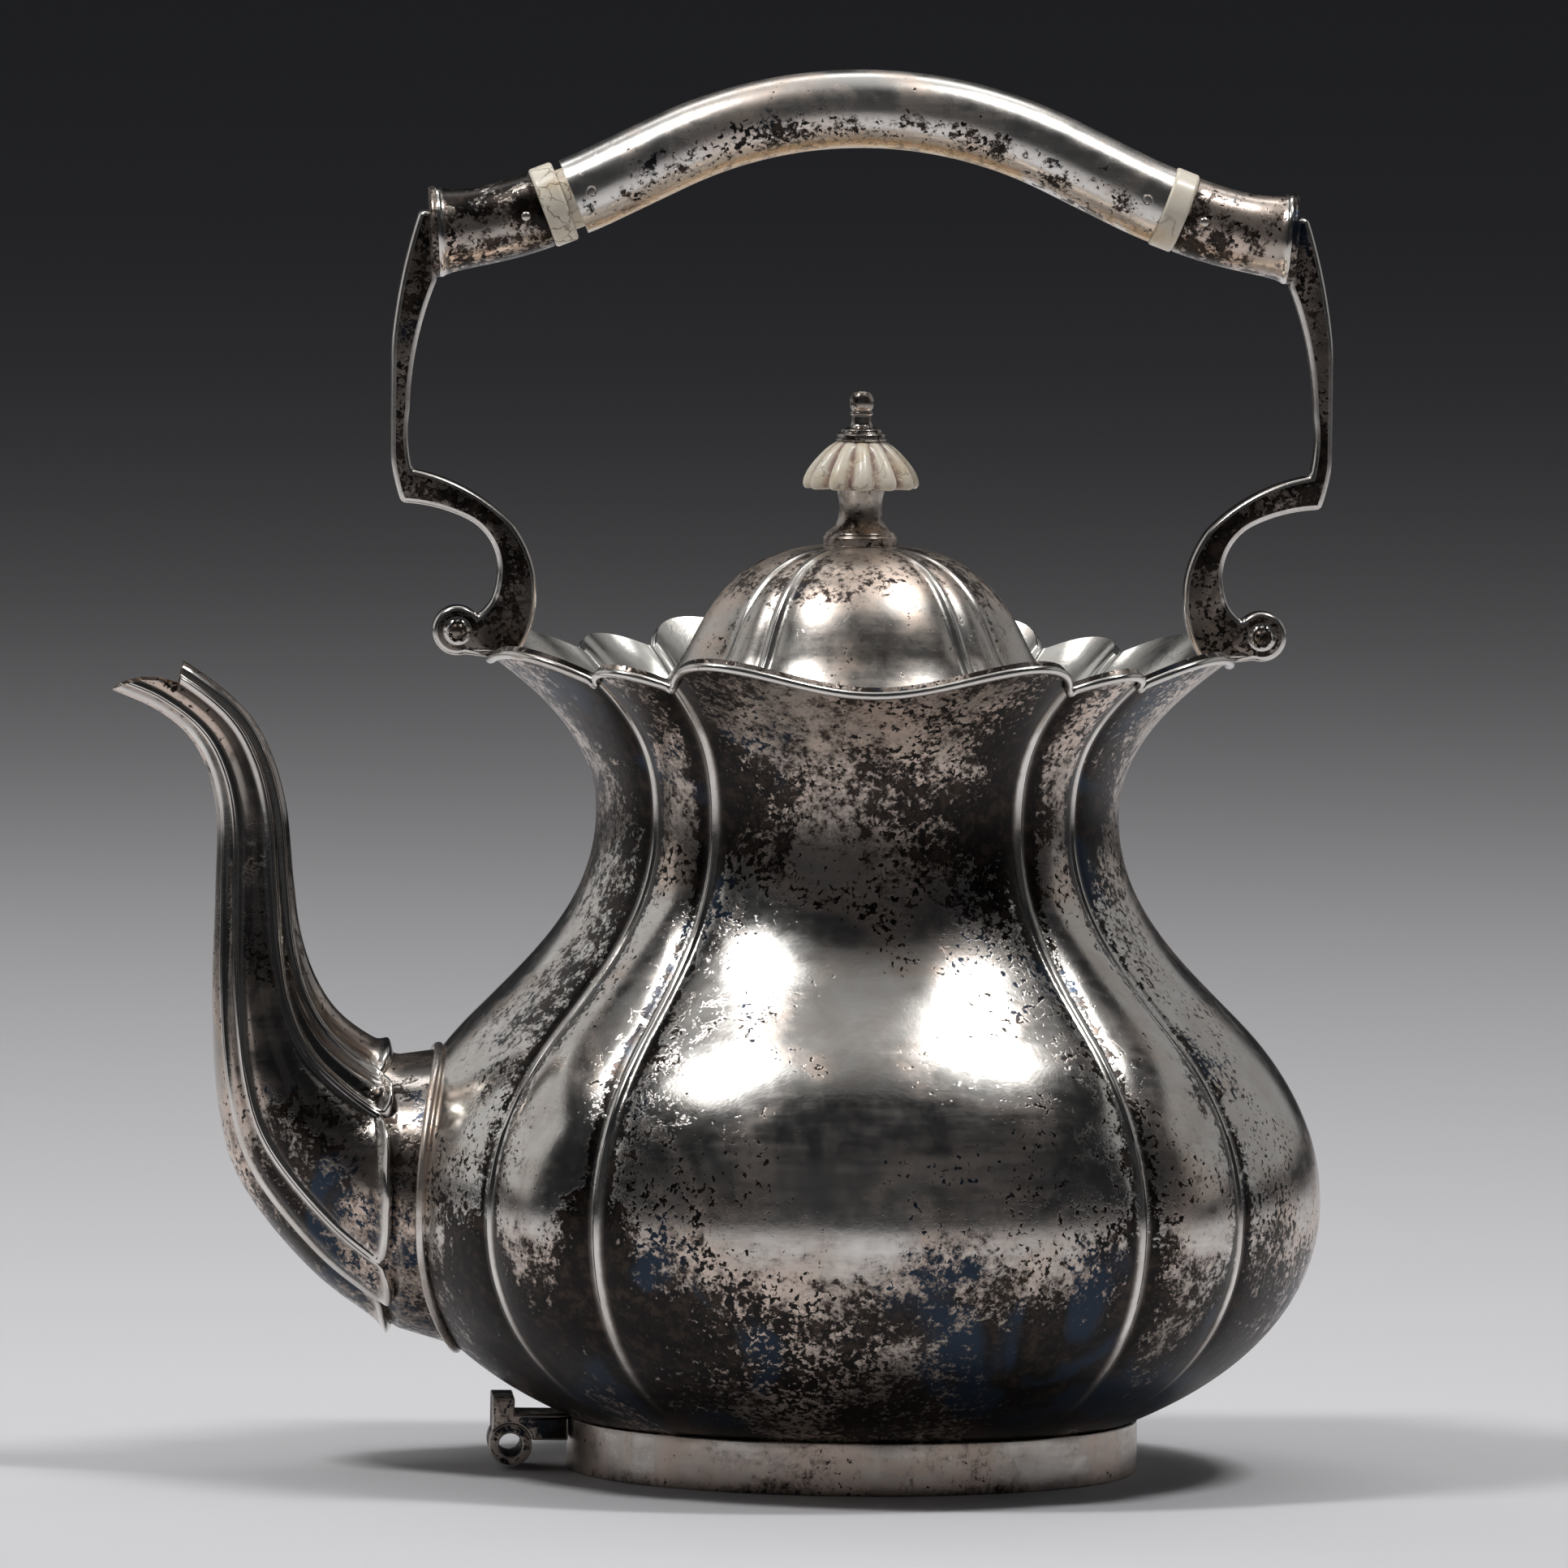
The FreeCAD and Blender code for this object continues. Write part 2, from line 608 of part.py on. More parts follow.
body_shell = keep(make_body_shell())
rim_wire = keep(make_rim_wire())
keep(make_foot_ring())
keep(make_base_plate())
keep(make_neck_deck())
vessel_solid = formed("vessel_outside", vessel_outside)


# Spout: its axis lies in the plane Y = 0
def spout_size(name, station):
    return getattr(dim, f"spout_{name}_{station}").value


def spout_edge(edge, station):
    """Point on the spout's upper or lower edge."""
    return Vector(-dim.belly_radius.value - spout_size(f"{edge}_out", station), 0,
                  dim.belly_height.value + spout_size(f"{edge}_up", station))


def spout_form(offset):
    """Solid fluted form of the spout, grown outwards by the offset."""
    sections = []
    for station in range(len(spout_stations)):
        upper = spout_edge("upper", station)
        lower = spout_edge("lower", station)
        sections.append(lobed_wire(
            (upper + lower) * 0.5, (upper - lower).normalize(), Vector(0, 1, 0),
            upper.distanceToPoint(lower) / 2 + offset,
            spout_size("half_width", station) + offset,
            dim.spout_lobe_angle.value, dim.spout_crease.value, dim.spout_lobe.value))
    return Part.makeLoft(sections, True, False)


def mouth_prism():
    """The space over the open lower lip and in front of the hood."""
    notch = Vector(-dim.belly_radius.value - dim.hood_out.value, 0,
                   dim.belly_height.value + dim.hood_up.value)
    reach = 2 * spout_size("half_width", 0)
    tip_out = spout_size("lower_out", len(spout_stations) - 1) - dim.hood_out.value
    fall = dim.lip_fall.value / tip_out
    corners = [
        notch,
        notch + Vector(-reach, 0, -reach * fall),
        notch + Vector(-reach, 0, reach),
        notch + Vector(reach * dim.hood_lean.value, 0, reach),
    ]
    face = Part.Face(Part.makePolygon(corners + corners[:1]))
    face.translate(Vector(0, -reach / 2, 0))
    return face.extrude(Vector(0, reach, 0))


def make_spout_shell():
    shell = spout_form(0).cut(spout_form(-dim.spout_wall.value))
    return formed("spout_shell", shell.cut(mouth_prism()))


def sleeve_form(grow):
    """Oval sleeve from the foot of the spout into the vessel, grown outwards."""
    upper = spout_edge("upper", 0)
    lower = spout_edge("lower", 0)
    centre = (upper + lower) * 0.5
    half_up = upper.distanceToPoint(lower) / 2 + grow
    half_across = spout_size("half_width", 0) + grow
    depth = dim.belly_radius.value - dim.neck_radius.value
    wires = []
    for inward in (0, depth):
        middle = centre + Vector(inward, 0, 0)
        across_tip = middle + Vector(0, half_across, 0)
        up_tip = middle + Vector(0, 0, half_up)
        tips = (across_tip, up_tip) if half_across >= half_up else (up_tip, across_tip)
        oval = Part.Ellipse(tips[0], tips[1], middle)
        wires.append(Part.Wire(oval.toShape()))
    return Part.makeLoft(wires, True, True)


def make_spout_collar():
    sleeve = sleeve_form(0).cut(sleeve_form(-dim.collar_wall.value))
    return formed("spout_collar", sleeve.cut(vessel_outside))


def make_spout_bead():
    near_body = vessel_form(dim.bead_width.value).cut(vessel_outside)
    ring = sleeve_form(dim.bead_proud.value).cut(sleeve_form(0))
    behind = Part.makeBox(dim.belly_radius.value, 4 * dim.belly_radius.value,
                          4 * dim.belly_radius.value)
    behind.translate(Vector(spout_edge("upper", 0).x, -2 * dim.belly_radius.value,
                            -2 * dim.belly_radius.value))
    return formed("spout_bead", ring.common(near_body).common(behind))


keep(make_spout_shell())
keep(make_spout_collar())
keep(make_spout_bead())


# Hinge lug under the spout, on the spout side of the foot
def cross_cylinder(label, radius, length, x, z):
    """Cylinder along Y, centred on Y = 0."""
    rod = doc.addObject("Part::Cylinder", label)
    rod.Label = label
    rod.Placement = Placement(Vector(x.value, length.value / 2, z.value),
                              Rotation(Vector(1, 0, 0), 90))
    for name, place in (("Radius", radius), ("Height", length)):
        rod.setExpression(name, place.text)
    rod.setExpression(".Placement.Base.x", x.text)
    rod.setExpression(".Placement.Base.y", (length * 0.5).text)
    rod.setExpression(".Placement.Base.z", z.text)
    return rod


def make_lug():
    axis_x = 0 - (dim.foot_radius + dim.barrel_offset)
    barrel = cross_cylinder("lug_barrel", dim.barrel_radius, dim.barrel_length, axis_x,
                            dim.barrel_height)
    outside = cross_cylinder("lug_barrel_outside", dim.barrel_radius, dim.barrel_length, axis_x,
                             dim.barrel_height)
    bore = cross_cylinder("lug_barrel_bore", dim.barrel_bore, dim.barrel_length + 2, axis_x,
                          dim.barrel_height)
    keep(cut("lug_barrel", barrel, bore))
    upright_face = dim.foot_radius + dim.upright_out
    upright_back = upright_face - dim.upright_thickness
    bracket = padded("lug_bracket", [
        (foot_inside, dim.strap_bottom),
        (upright_face, dim.strap_bottom),
        (upright_face, dim.upright_top),
        (upright_back, dim.upright_top),
        (upright_back, dim.strap_top),
        (foot_inside, dim.strap_top),
    ], dim.barrel_length)
    bracket.Placement = Placement(Vector(0, 0, 0), Rotation(Vector(0, 0, 1), 180))
    foot_space = doc.addObject("Part::Cylinder", "foot_space")
    foot_space.setExpression("Radius", dim.foot_radius.text)
    foot_space.setExpression("Height", dim.foot_height.text)
    keep(cut("lug_bracket", bracket, outside, foot_space, vessel_solid))


make_lug()


# Lid and its knob
lid_edge_radius = dim.mouth_radius + dim.lid_lap
lid_waist_radius = dim.mouth_radius - dim.lid_waist_in
lid_waist_height = seat_height + dim.lid_waist_rise
lid_curves = [
    stretch((lid_edge_radius, seat_height), (lid_waist_radius, lid_waist_height),
            (dim.lid_edge_slope.value, 1), (dim.lid_waist_slope.value, 1),
            dim.lid_edge_reach, dim.lid_waist_reach),
    stretch((lid_waist_radius, lid_waist_height), (dim.lid_crown_radius, lid_top),
            (dim.lid_waist_slope.value, 1), (-1, dim.lid_crown_slope.value),
            dim.lid_dome_reach, dim.lid_crown_reach),
]


def lid_form(offset):
    """Solid lobed form of the lid, grown outwards by the offset."""
    fade = [(lid_waist_height.value, 1.0), (lid_top.value, 0.0)]
    sections = [
        round_section(radius, height, dim.lobe_half_angle.value,
                      dim.lid_crease.value * blend(height, fade),
                      dim.lid_lobe.value * blend(height, fade))
        for radius, height in profile_points(lid_curves, 5, offset)]
    return Part.makeLoft(sections, True, False)


def make_lid_dome():
    hollow = lid_form(-dim.lid_wall.value)
    hole = Part.makeCylinder(stud_bore.value, 4 * dim.lid_wall.value,
                             Vector(0, 0, lid_top.value - 2 * dim.lid_wall.value))
    return formed("lid_dome", lid_form(0).cut(hollow).cut(hole))


def make_lid_bezel(lid_dome):
    outside = dim.mouth_radius - dim.mouth_clearance
    inside = outside - dim.bezel_wall
    lean = dim.lid_edge_slope * dim.bezel_flange
    flange = lid_edge_radius - dim.lid_crease + lean - dim.lid_wall * 0.5
    ring = turned("lid_bezel", [
        (inside, seat_height - dim.bezel_depth),
        (outside, seat_height - dim.bezel_depth),
        (outside, seat_height),
        (flange, seat_height),
        (flange, seat_height + dim.bezel_flange),
        (inside, seat_height + dim.bezel_flange),
    ])
    return cut("lid_bezel", ring, lid_dome)


def make_knob_stem():
    neck = lid_top + dim.stem_neck_rise
    flange_top = lid_top + dim.stem_flange_height
    return turned("knob_stem", [
        (stud_bore, lid_top),
        (dim.stem_flange_radius, lid_top),
        (dim.stem_flange_radius, flange_top, 0 - dim.stem_curve),
        (dim.stem_neck_radius, neck),
        (dim.stem_top_radius, stem_top),
        (stud_bore, stem_top),
    ])


def make_knob_cap():
    body = turned("knob_cap", [
        (stud_bore, stem_top),
        (dim.cap_edge_radius, stem_top),
        (dim.cap_radius, stem_top + dim.cap_belly_rise, dim.cap_crown_round),
        (dim.cap_top_radius, cap_top),
        (stud_bore, cap_top),
    ])
    doc.recompute()
    flute = body.newObject("Sketcher::SketchObject", "knob_cap_flute")
    flute.AttachmentSupport = [(origin_plane(body, "XY_Plane"), "")]
    flute.MapMode = "FlatFace"
    reach = dim.cap_radius + dim.flute_radius - dim.flute_depth
    flute.addGeometry(Part.Circle(Vector(reach.value, 0, 0), Vector(0, 0, 1),
                                  dim.flute_radius.value))
    hold_point(flute, 0, 3, reach, Size.of(0))
    number = flute.addConstraint(Sketcher.Constraint("Radius", 0, dim.flute_radius.value))
    flute.setExpression(f"Constraints[{number}]", dim.flute_radius.text)
    groove = body.newObject("PartDesign::Pocket", "knob_cap_groove")
    groove.Profile = flute
    groove.Type = "ThroughAll"
    groove.Reversed = True
    ring = body.newObject("PartDesign::PolarPattern", "knob_cap_flutes")
    ring.Originals = [groove]
    ring.Axis = (flute, ["N_Axis"])
    ring.Angle = 360
    ring.Occurrences = int(dim.flute_count.value)
    ring.setExpression("Occurrences", dim.flute_count.text)
    body.Tip = ring
    return body


def make_knob_finial():
    collar_top = cap_top + dim.finial_collar_height
    neck = cap_top + dim.finial_neck_rise
    ball_base = neck + dim.finial_neck_height
    ball_low = math.sqrt(dim.ball_radius.value ** 2 - dim.finial_neck_radius.value ** 2)
    ball_high = math.sqrt(dim.ball_radius.value ** 2 - dim.ball_flat.value ** 2)
    ball_top = ball_base + ball_low + ball_high
    return turned("knob_finial", [
        (0, cap_top + dim.stud_into_finial),
        (stud_bore, cap_top + dim.stud_into_finial),
        (stud_bore, cap_top),
        (dim.finial_collar_radius, cap_top),
        (dim.finial_collar_radius, collar_top),
        (dim.finial_cone_radius, collar_top),
        (dim.finial_neck_radius, neck),
        (dim.finial_neck_radius, ball_base, dim.ball_radius),
        (dim.ball_flat, ball_top),
        (0, ball_top),
    ])


nut_top = lid_top - dim.lid_wall
nut_bottom = nut_top - dim.nut_height


def make_knob_stud():
    return turned("knob_stud", [
        (0, nut_bottom - dim.stud_below_nut),
        (dim.stud_radius, nut_bottom - dim.stud_below_nut),
        (dim.stud_radius, cap_top + dim.stud_into_finial),
        (0, cap_top + dim.stud_into_finial),
    ])


def make_knob_nut():
    return turned("knob_nut", [
        (stud_bore, nut_bottom),
        (dim.nut_radius, nut_bottom),
        (dim.nut_radius, nut_top),
        (stud_bore, nut_top),
    ])


lid_dome = keep(make_lid_dome())
keep(make_lid_bezel(lid_dome))
keep(make_knob_stem())
keep(make_knob_cap())
keep(make_knob_finial())
keep(make_knob_stud())
keep(make_knob_nut())


# Handle: its axis lies in the plane Y = 0 and is the same on either side of the middle
class HandleAxis:
    """Axis of the handle, from the crown of the grip out to the end of a socket."""

    def __init__(self):
        leg = math.radians(dim.leg_slope.value)
        arch = dim.arch_radius.value
        sweep = dim.sweep_radius.value
        self.crown = Vector(0, 0, rim_side.value + dim.grip_rise.value)
        self.arch_middle = self.crown + Vector(arch * math.sin(leg / 2), 0,
                                               arch * (math.cos(leg / 2) - 1))
        self.arch_end = self.crown + Vector(arch * math.sin(leg), 0, arch * (math.cos(leg) - 1))
        run = dim.sweep_start.value - self.arch_end.x
        self.leg_end = self.arch_end + Vector(run, 0, -run * math.tan(leg))
        self.sweep_centre = self.leg_end + Vector(math.sin(leg), 0, math.cos(leg)) * sweep
        self.slope = self.sweep_slope(dim.ring_at.value)
        self.outward = Vector(math.cos(self.slope), 0, -math.sin(self.slope))
        self.ring_inner = self.sweep_point(self.slope)
        self.ring_outer = self.ring_inner + self.outward * dim.ring_width.value
        self.end_slope = math.radians(dim.socket_end_slope.value)
        turn = math.sin(self.slope) - math.sin(self.end_slope)
        self.socket_radius = (dim.socket_end.value - self.ring_outer.x) / turn
        self.socket_centre = (self.ring_outer
                              + Vector(math.sin(self.slope), 0, math.cos(self.slope))
                              * self.socket_radius)

    def sweep_slope(self, x):
        return math.asin((self.sweep_centre.x - x) / dim.sweep_radius.value)

    def sweep_point(self, slope):
        return self.sweep_centre - (Vector(math.sin(slope), 0, math.cos(slope))
                                    * dim.sweep_radius.value)

    def socket_point(self, share):
        """Point and outward direction of the socket's axis."""
        slope = self.slope + (self.end_slope - self.slope) * share
        point = self.socket_centre - (Vector(math.sin(slope), 0, math.cos(slope))
                                      * self.socket_radius)
        return point, Vector(math.cos(slope), 0, -math.sin(slope))


axis = HandleAxis()
bore_radius = dim.grip_radius - dim.grip_wall
ring_radius = dim.grip_radius + dim.ring_proud
socket_end_radius = dim.grip_radius + dim.socket_flare


def grip_half(gap, radius, overrun):
    """Rod along one half of the grip's axis, which stops the gap short of the insulator."""
    slope = axis.sweep_slope(dim.ring_at.value - gap * math.cos(axis.slope))
    middle_slope = (slope + math.radians(dim.leg_slope.value)) / 2
    end = axis.sweep_point(slope)
    edges = [
        Part.Arc(axis.crown, axis.arch_middle, axis.arch_end).toShape(),
        Part.makeLine(axis.arch_end, axis.leg_end),
        Part.Arc(axis.leg_end, axis.sweep_point(middle_slope), end).toShape(),
    ]
    if overrun:
        outward = Vector(math.cos(slope), 0, -math.sin(slope))
        edges.append(Part.makeLine(end, end + outward * overrun))
    profile = Part.Wire(Part.makeCircle(radius, axis.crown, Vector(1, 0, 0)))
    return Part.Wire(edges).makePipeShell([profile], True, False)


def side_placement(flip):
    """Handle pieces are made on the right; the left ones take half a turn about Z."""
    return Placement(Vector(0, 0, 0), Rotation(Vector(0, 0, 1), 180 if flip else 0))


def make_grip():
    gap = dim.loose_gap.value
    outside = grip_half(0, dim.grip_radius.value, 0)
    outside_left = grip_half(gap, dim.grip_radius.value, 0)
    inside = grip_half(0, bore_radius.value, 1)
    inside_left = grip_half(gap, bore_radius.value, 1)
    for left_half in (outside_left, inside_left):
        left_half.Placement = side_placement(True)
    tube = outside.fuse(outside_left).cut(inside).cut(inside_left)
    return formed("handle_grip", tube.removeSplitter())


def socket_tube(grow):
    """Rod along a socket: straight-sided, then flared at the outer end."""
    start = dim.flare_start.value
    radii = [(0, dim.grip_radius), (start / 2, dim.grip_radius), (start, dim.grip_radius),
             (dim.flare_middle.value, dim.grip_radius + dim.flare_rise),
             (1, socket_end_radius)]
    wires = []
    for share, radius in radii:
        point, along = axis.socket_point(share)
        wires.append(Part.Wire(Part.makeCircle(radius.value + grow, point, along)))
    return Part.makeLoft(wires, True, False)


def make_socket(label, flip):
    tube = socket_tube(0).cut(socket_tube(-dim.grip_wall.value))
    return formed(label, tube, side_placement(flip))


def on_axis(piece, point, along, flip):
    """Places a piece made about Z onto the handle's axis."""
    lean = Rotation(Vector(0, 0, 1), along)
    piece.Placement = side_placement(flip).multiply(Placement(point, lean))


def make_insulator(label, flip):
    tenon = bore_radius - dim.tenon_clearance
    edge = dim.ring_edge
    piece = turned(label, [
        (0, 0),
        (tenon, 0),
        (tenon, dim.tenon_length),
        (ring_radius - edge, dim.tenon_length, edge),
        (ring_radius, dim.tenon_length + edge),
        (ring_radius, dim.tenon_length + dim.ring_width - edge, edge),
        (ring_radius - edge, dim.tenon_length + dim.ring_width),
        (tenon, dim.tenon_length + dim.ring_width),
        (tenon, dim.tenon_length + dim.ring_width + dim.tenon_length),
        (0, dim.tenon_length + dim.ring_width + dim.tenon_length),
    ])
    on_axis(piece, axis.ring_inner - axis.outward * dim.tenon_length.value, axis.outward, flip)
    return piece


def make_disc(label, flip):
    piece = turned(label, [
        (0, 0),
        (socket_end_radius, 0, dim.disc_thickness),
        (socket_end_radius - dim.disc_edge, dim.disc_thickness),
        (0, dim.disc_thickness),
    ])
    point, along = axis.socket_point(1)
    on_axis(piece, point, along, flip)
    return piece


def make_pin(label, point, flip):
    """Cross pin along Y through a tube, with rounded ends."""
    half = dim.grip_radius + dim.pin_proud
    dome = dim.pin_radius - dim.pin_flat
    piece = turned(label, [
        (0, 0),
        (dim.pin_flat, 0, dome),
        (dim.pin_radius, dome),
        (dim.pin_radius, half + half - dome, dome),
        (dim.pin_flat, half + half),
        (0, half + half),
    ])
    side = -1 if flip else 1
    piece.Placement = Placement(Vector(side * point.x, half.value, point.z),
                                Rotation(Vector(1, 0, 0), 90))
    return piece


rim_steps = 400
rim_radius = next(
    radius for radius, height in profile_points(body_curves[-1:], rim_steps, 0)
    if height >= rim_side.value - dim.wire_height.value / 2)


def by_rim(out, rise):
    """Point beside the rim under an arm: so far outside it and so far above it."""
    return Vector(rim_radius + float(out), 0, rim_side.value + float(rise))


def arm_outline():
    """Edges of a cast scroll arm: beside the disc, down the post, round the scroll."""
    end, along = axis.socket_point(1)
    face = end + along * dim.disc_thickness.value
    upwards = Vector(-along.z, 0, along.x)
    eye = by_rim(dim.volute_out, dim.volute_rise)

    def on_volute(turn):
        angle = math.radians(turn)
        return eye + Vector(math.cos(angle), 0, math.sin(angle)) * dim.volute_radius.value

    top = face + upwards * dim.arm_top_up.value
    top_out = top + Vector(dim.arm_top_width.value, 0, 0)
    low = face - upwards * dim.arm_low_down.value
    elbow = by_rim(dim.elbow_out, dim.elbow_rise)
    post_out = elbow + Vector(dim.post_bulge.value, 0,
                              (low.z - elbow.z) * dim.post_bulge_share.value)
    post_in = post_out - Vector(dim.arm_width.value, 0, 0)
    elbow_tip = elbow - Vector(dim.elbow_tip_in.value, 0, 0)
    elbow_in = elbow + Vector(-dim.elbow_inner_in.value, 0, dim.elbow_inner_rise.value)
    under = by_rim(dim.under_out, dim.elbow_rise - dim.under_drop)
    scroll_top = by_rim(0 - dim.scroll_top_in, dim.elbow_rise - dim.scroll_top_drop)
    scroll_outer = by_rim(0 - dim.scroll_in, dim.scroll_mid_rise)
    scroll_inner = scroll_outer + Vector(dim.scroll_width.value, 0, dim.scroll_inner_rise.value)
    volute_join = on_volute(180 - dim.volute_join_turn.value)
    volute_foot = on_volute(180 + dim.volute_foot_turn.value)
    seat = by_rim(0 - dim.seat_in, 0 - dim.seat_drop)

    def bowed(first, last, bow):
        """Arc whose middle stands to the left of its chord."""
        chord = last - first
        middle = first + chord * 0.5 + Vector(-chord.z, 0, chord.x).normalize() * float(bow)
        return Part.Arc(first, middle, last).toShape()

    return eye, [
        Part.makeLine(top, top_out),
        bowed(top_out, post_out, dim.post_top_bow),
        bowed(post_out, elbow_tip, dim.post_bow),
        bowed(elbow_tip, under, 0 - dim.under_bow),
        Part.Arc(under, scroll_inner, volute_join).toShape(),
        Part.Arc(volute_join, on_volute(90), on_volute(0)).toShape(),
        Part.Arc(on_volute(0), on_volute(-45), volute_foot).toShape(),
        Part.makeLine(volute_foot, seat),
        Part.Arc(seat, scroll_outer, scroll_top).toShape(),
        bowed(scroll_top, elbow_in, dim.scroll_top_bow),
        bowed(elbow_in, post_in, 0 - dim.post_inner_bow),
        bowed(post_in, low, 0 - dim.post_top_inner_bow),
        Part.makeLine(low, top),
    ]


def make_arm_solid():
    """Scroll arm on the right-hand side, with a ball on either face of the volute."""
    eye, edges = arm_outline()
    half = dim.arm_depth.value / 2
    face = Part.Face(Part.Wire(edges))
    face.translate(Vector(0, -half, 0))
    strap = face.extrude(Vector(0, dim.arm_depth.value, 0))
    for side in (-half, half):
        strap = strap.fuse(Part.makeSphere(dim.boss_radius.value, eye + Vector(0, side, 0)))
    return strap


def make_arm(label, flip):
    blank = formed(label, make_arm_solid(), side_placement(flip))
    return cut(label, blank, rim_wire, body_shell)


def make_handle():
    grip = make_grip()
    ferrule_point = axis.socket_point(
        dim.pin_inset.value / (axis.socket_radius * (axis.slope - axis.end_slope)))[0]
    grip_pins = []
    for side, flip in (("left", True), ("right", False)):
        gap = dim.loose_gap.value if flip else 0
        grip_slope = axis.sweep_slope(dim.ring_at.value - (gap + dim.pin_inset.value)
                                      * math.cos(axis.slope))
        grip_pin = make_pin(f"grip_pin_{side}", axis.sweep_point(grip_slope), flip)
        ferrule_pin = make_pin(f"ferrule_pin_{side}", ferrule_point, flip)
        grip_pins.append(grip_pin)
        keep(grip_pin)
        keep(ferrule_pin)
        keep(cut(f"insulator_{side}", make_insulator(f"insulator_{side}", flip), grip_pin,
                 ferrule_pin))
        keep(cut(f"ferrule_{side}", make_socket(f"ferrule_{side}", flip), ferrule_pin))
        keep(make_disc(f"ferrule_disc_{side}", flip))
        keep(make_arm(f"handle_arm_{side}", flip))
    keep(cut("handle_grip", grip, *grip_pins))


make_handle()


def check_document():
    """Stops if any object failed, or a sub-part is empty or invalid."""
    doc.recompute()
    for item in doc.Objects:
        faults = {"Invalid", "Error"} & set(item.State)
        if faults:
            raise RuntimeError(f"{item.Label} is {', '.join(sorted(faults))}")
    faulty = []
    for piece in pieces:
        shape = piece.Shape
        if shape.isNull() or not shape.isValid() or not shape.Solids:
            faulty.append(piece.Label)
        else:
            print(f"{piece.Label}: {len(shape.Solids)} solid, {shape.Volume:.1f} cubic mm")
    if faulty:
        raise RuntimeError(f"no valid solid in {', '.join(faulty)}")


check_document()
os.makedirs("parts", exist_ok=True)
for piece in pieces:
    piece.Shape.exportStep(f"parts/{piece.Label}.step")
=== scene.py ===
import math

import bmesh
import bpy
import numpy as np
from mathutils import Matrix, Vector
from mathutils.bvhtree import BVHTree


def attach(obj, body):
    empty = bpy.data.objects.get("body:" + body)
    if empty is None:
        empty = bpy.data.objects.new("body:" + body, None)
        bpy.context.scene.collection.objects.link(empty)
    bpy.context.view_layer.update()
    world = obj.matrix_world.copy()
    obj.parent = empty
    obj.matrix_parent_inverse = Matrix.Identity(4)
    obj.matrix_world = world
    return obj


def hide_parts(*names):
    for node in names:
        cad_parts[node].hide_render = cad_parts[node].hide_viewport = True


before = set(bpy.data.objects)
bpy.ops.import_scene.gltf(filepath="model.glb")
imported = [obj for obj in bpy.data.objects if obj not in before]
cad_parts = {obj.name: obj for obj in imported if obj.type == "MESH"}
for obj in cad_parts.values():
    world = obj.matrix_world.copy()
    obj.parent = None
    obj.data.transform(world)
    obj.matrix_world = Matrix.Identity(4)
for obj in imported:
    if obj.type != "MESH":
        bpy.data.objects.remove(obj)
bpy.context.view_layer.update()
mm = 0.001
scene = bpy.context.scene


# Python operator that adds a Math node
def sumOf(operation, swapped=False):
    if swapped:
        return lambda self, other: self.maths(operation, other, self)
    return lambda self, other: self.maths(operation, self, other)


# A socket in a node tree, so that sums on values add their Math nodes
class Wire:
    __add__ = __radd__ = sumOf("ADD")
    __mul__ = __rmul__ = sumOf("MULTIPLY")
    __sub__ = sumOf("SUBTRACT")
    __rsub__ = sumOf("SUBTRACT", True)
    __truediv__ = sumOf("DIVIDE")
    __rtruediv__ = sumOf("DIVIDE", True)
    __gt__ = sumOf("GREATER_THAN")

    def __init__(self, tree, socket=None):
        self.tree = tree
        self.socket = socket

    # Adds a node, makes its settings and feeds its inlets
    def node(self, kind, inlets=None, outlet=0, **settings):
        made = self.tree.nodes.new(kind)
        for name, value in settings.items():
            setattr(made, name, value)
        for key, value in (inlets or {}).items():
            self.feed(made.inputs[key], value)
        return Wire(self.tree, made.outputs[outlet])

    def feed(self, inlet, value):
        if isinstance(value, Wire):
            self.tree.links.new(value.socket, inlet)
        else:
            inlet.default_value = value

    def out(self, key):
        return Wire(self.tree, self.socket.node.outputs[key])

    def maths(self, operation, first, second=0.0):
        return self.node("ShaderNodeMath", {0: first, 1: second}, operation=operation)

    def calc(self, operation):
        return self.maths(operation, self)

    def held(self, low=0.0, high=1.0):
        return self.maths("MINIMUM", self.maths("MAXIMUM", self, low), high)

    # Smooth step from 0 at low to 1 at high
    def step(self, low, high):
        return self.node("ShaderNodeMapRange", {0: self, 1: low, 2: high},
                         interpolation_type="SMOOTHSTEP")

    def pick(self, low, high):
        return low + (high - low) * self

    def tint(self, first, second):
        return self.node("ShaderNodeMix", {0: self, 6: first, 7: second}, 2, data_type="RGBA")

    def axes(self):
        parts = self.node("ShaderNodeSeparateXYZ", {0: self})
        return parts, parts.out(1), parts.out(2)


def vectorOf(wire, x, y, z):
    return wire.node("ShaderNodeCombineXYZ", {0: x, 1: y, 2: z})


# Point at a reach from the Z axis
def roundPoint(wire, reach, turn, height):
    return vectorOf(wire, reach * turn.calc("COSINE"), reach * turn.calc("SINE"), height)


# Falls from 1 to nothing within about two widths
def bell(distance, width):
    share = distance / width
    return (share * share * -1).calc("EXPONENT")


# Trees that grow a piece; each takes its material last
def startTree(name, inlets):
    tree = bpy.data.node_groups.new(name, "GeometryNodeTree")
    inlets = {**inlets, "Material": "Material"}
    for label, kind in inlets.items():
        tree.interface.new_socket(label, in_out="INPUT", socket_type="NodeSocket" + kind)
    tree.interface.new_socket("Geometry", in_out="OUTPUT", socket_type="NodeSocketGeometry")
    given = tree.nodes.new("NodeGroupInput")
    return Wire(tree), {label: Wire(tree, given.outputs[label]) for label in inlets}


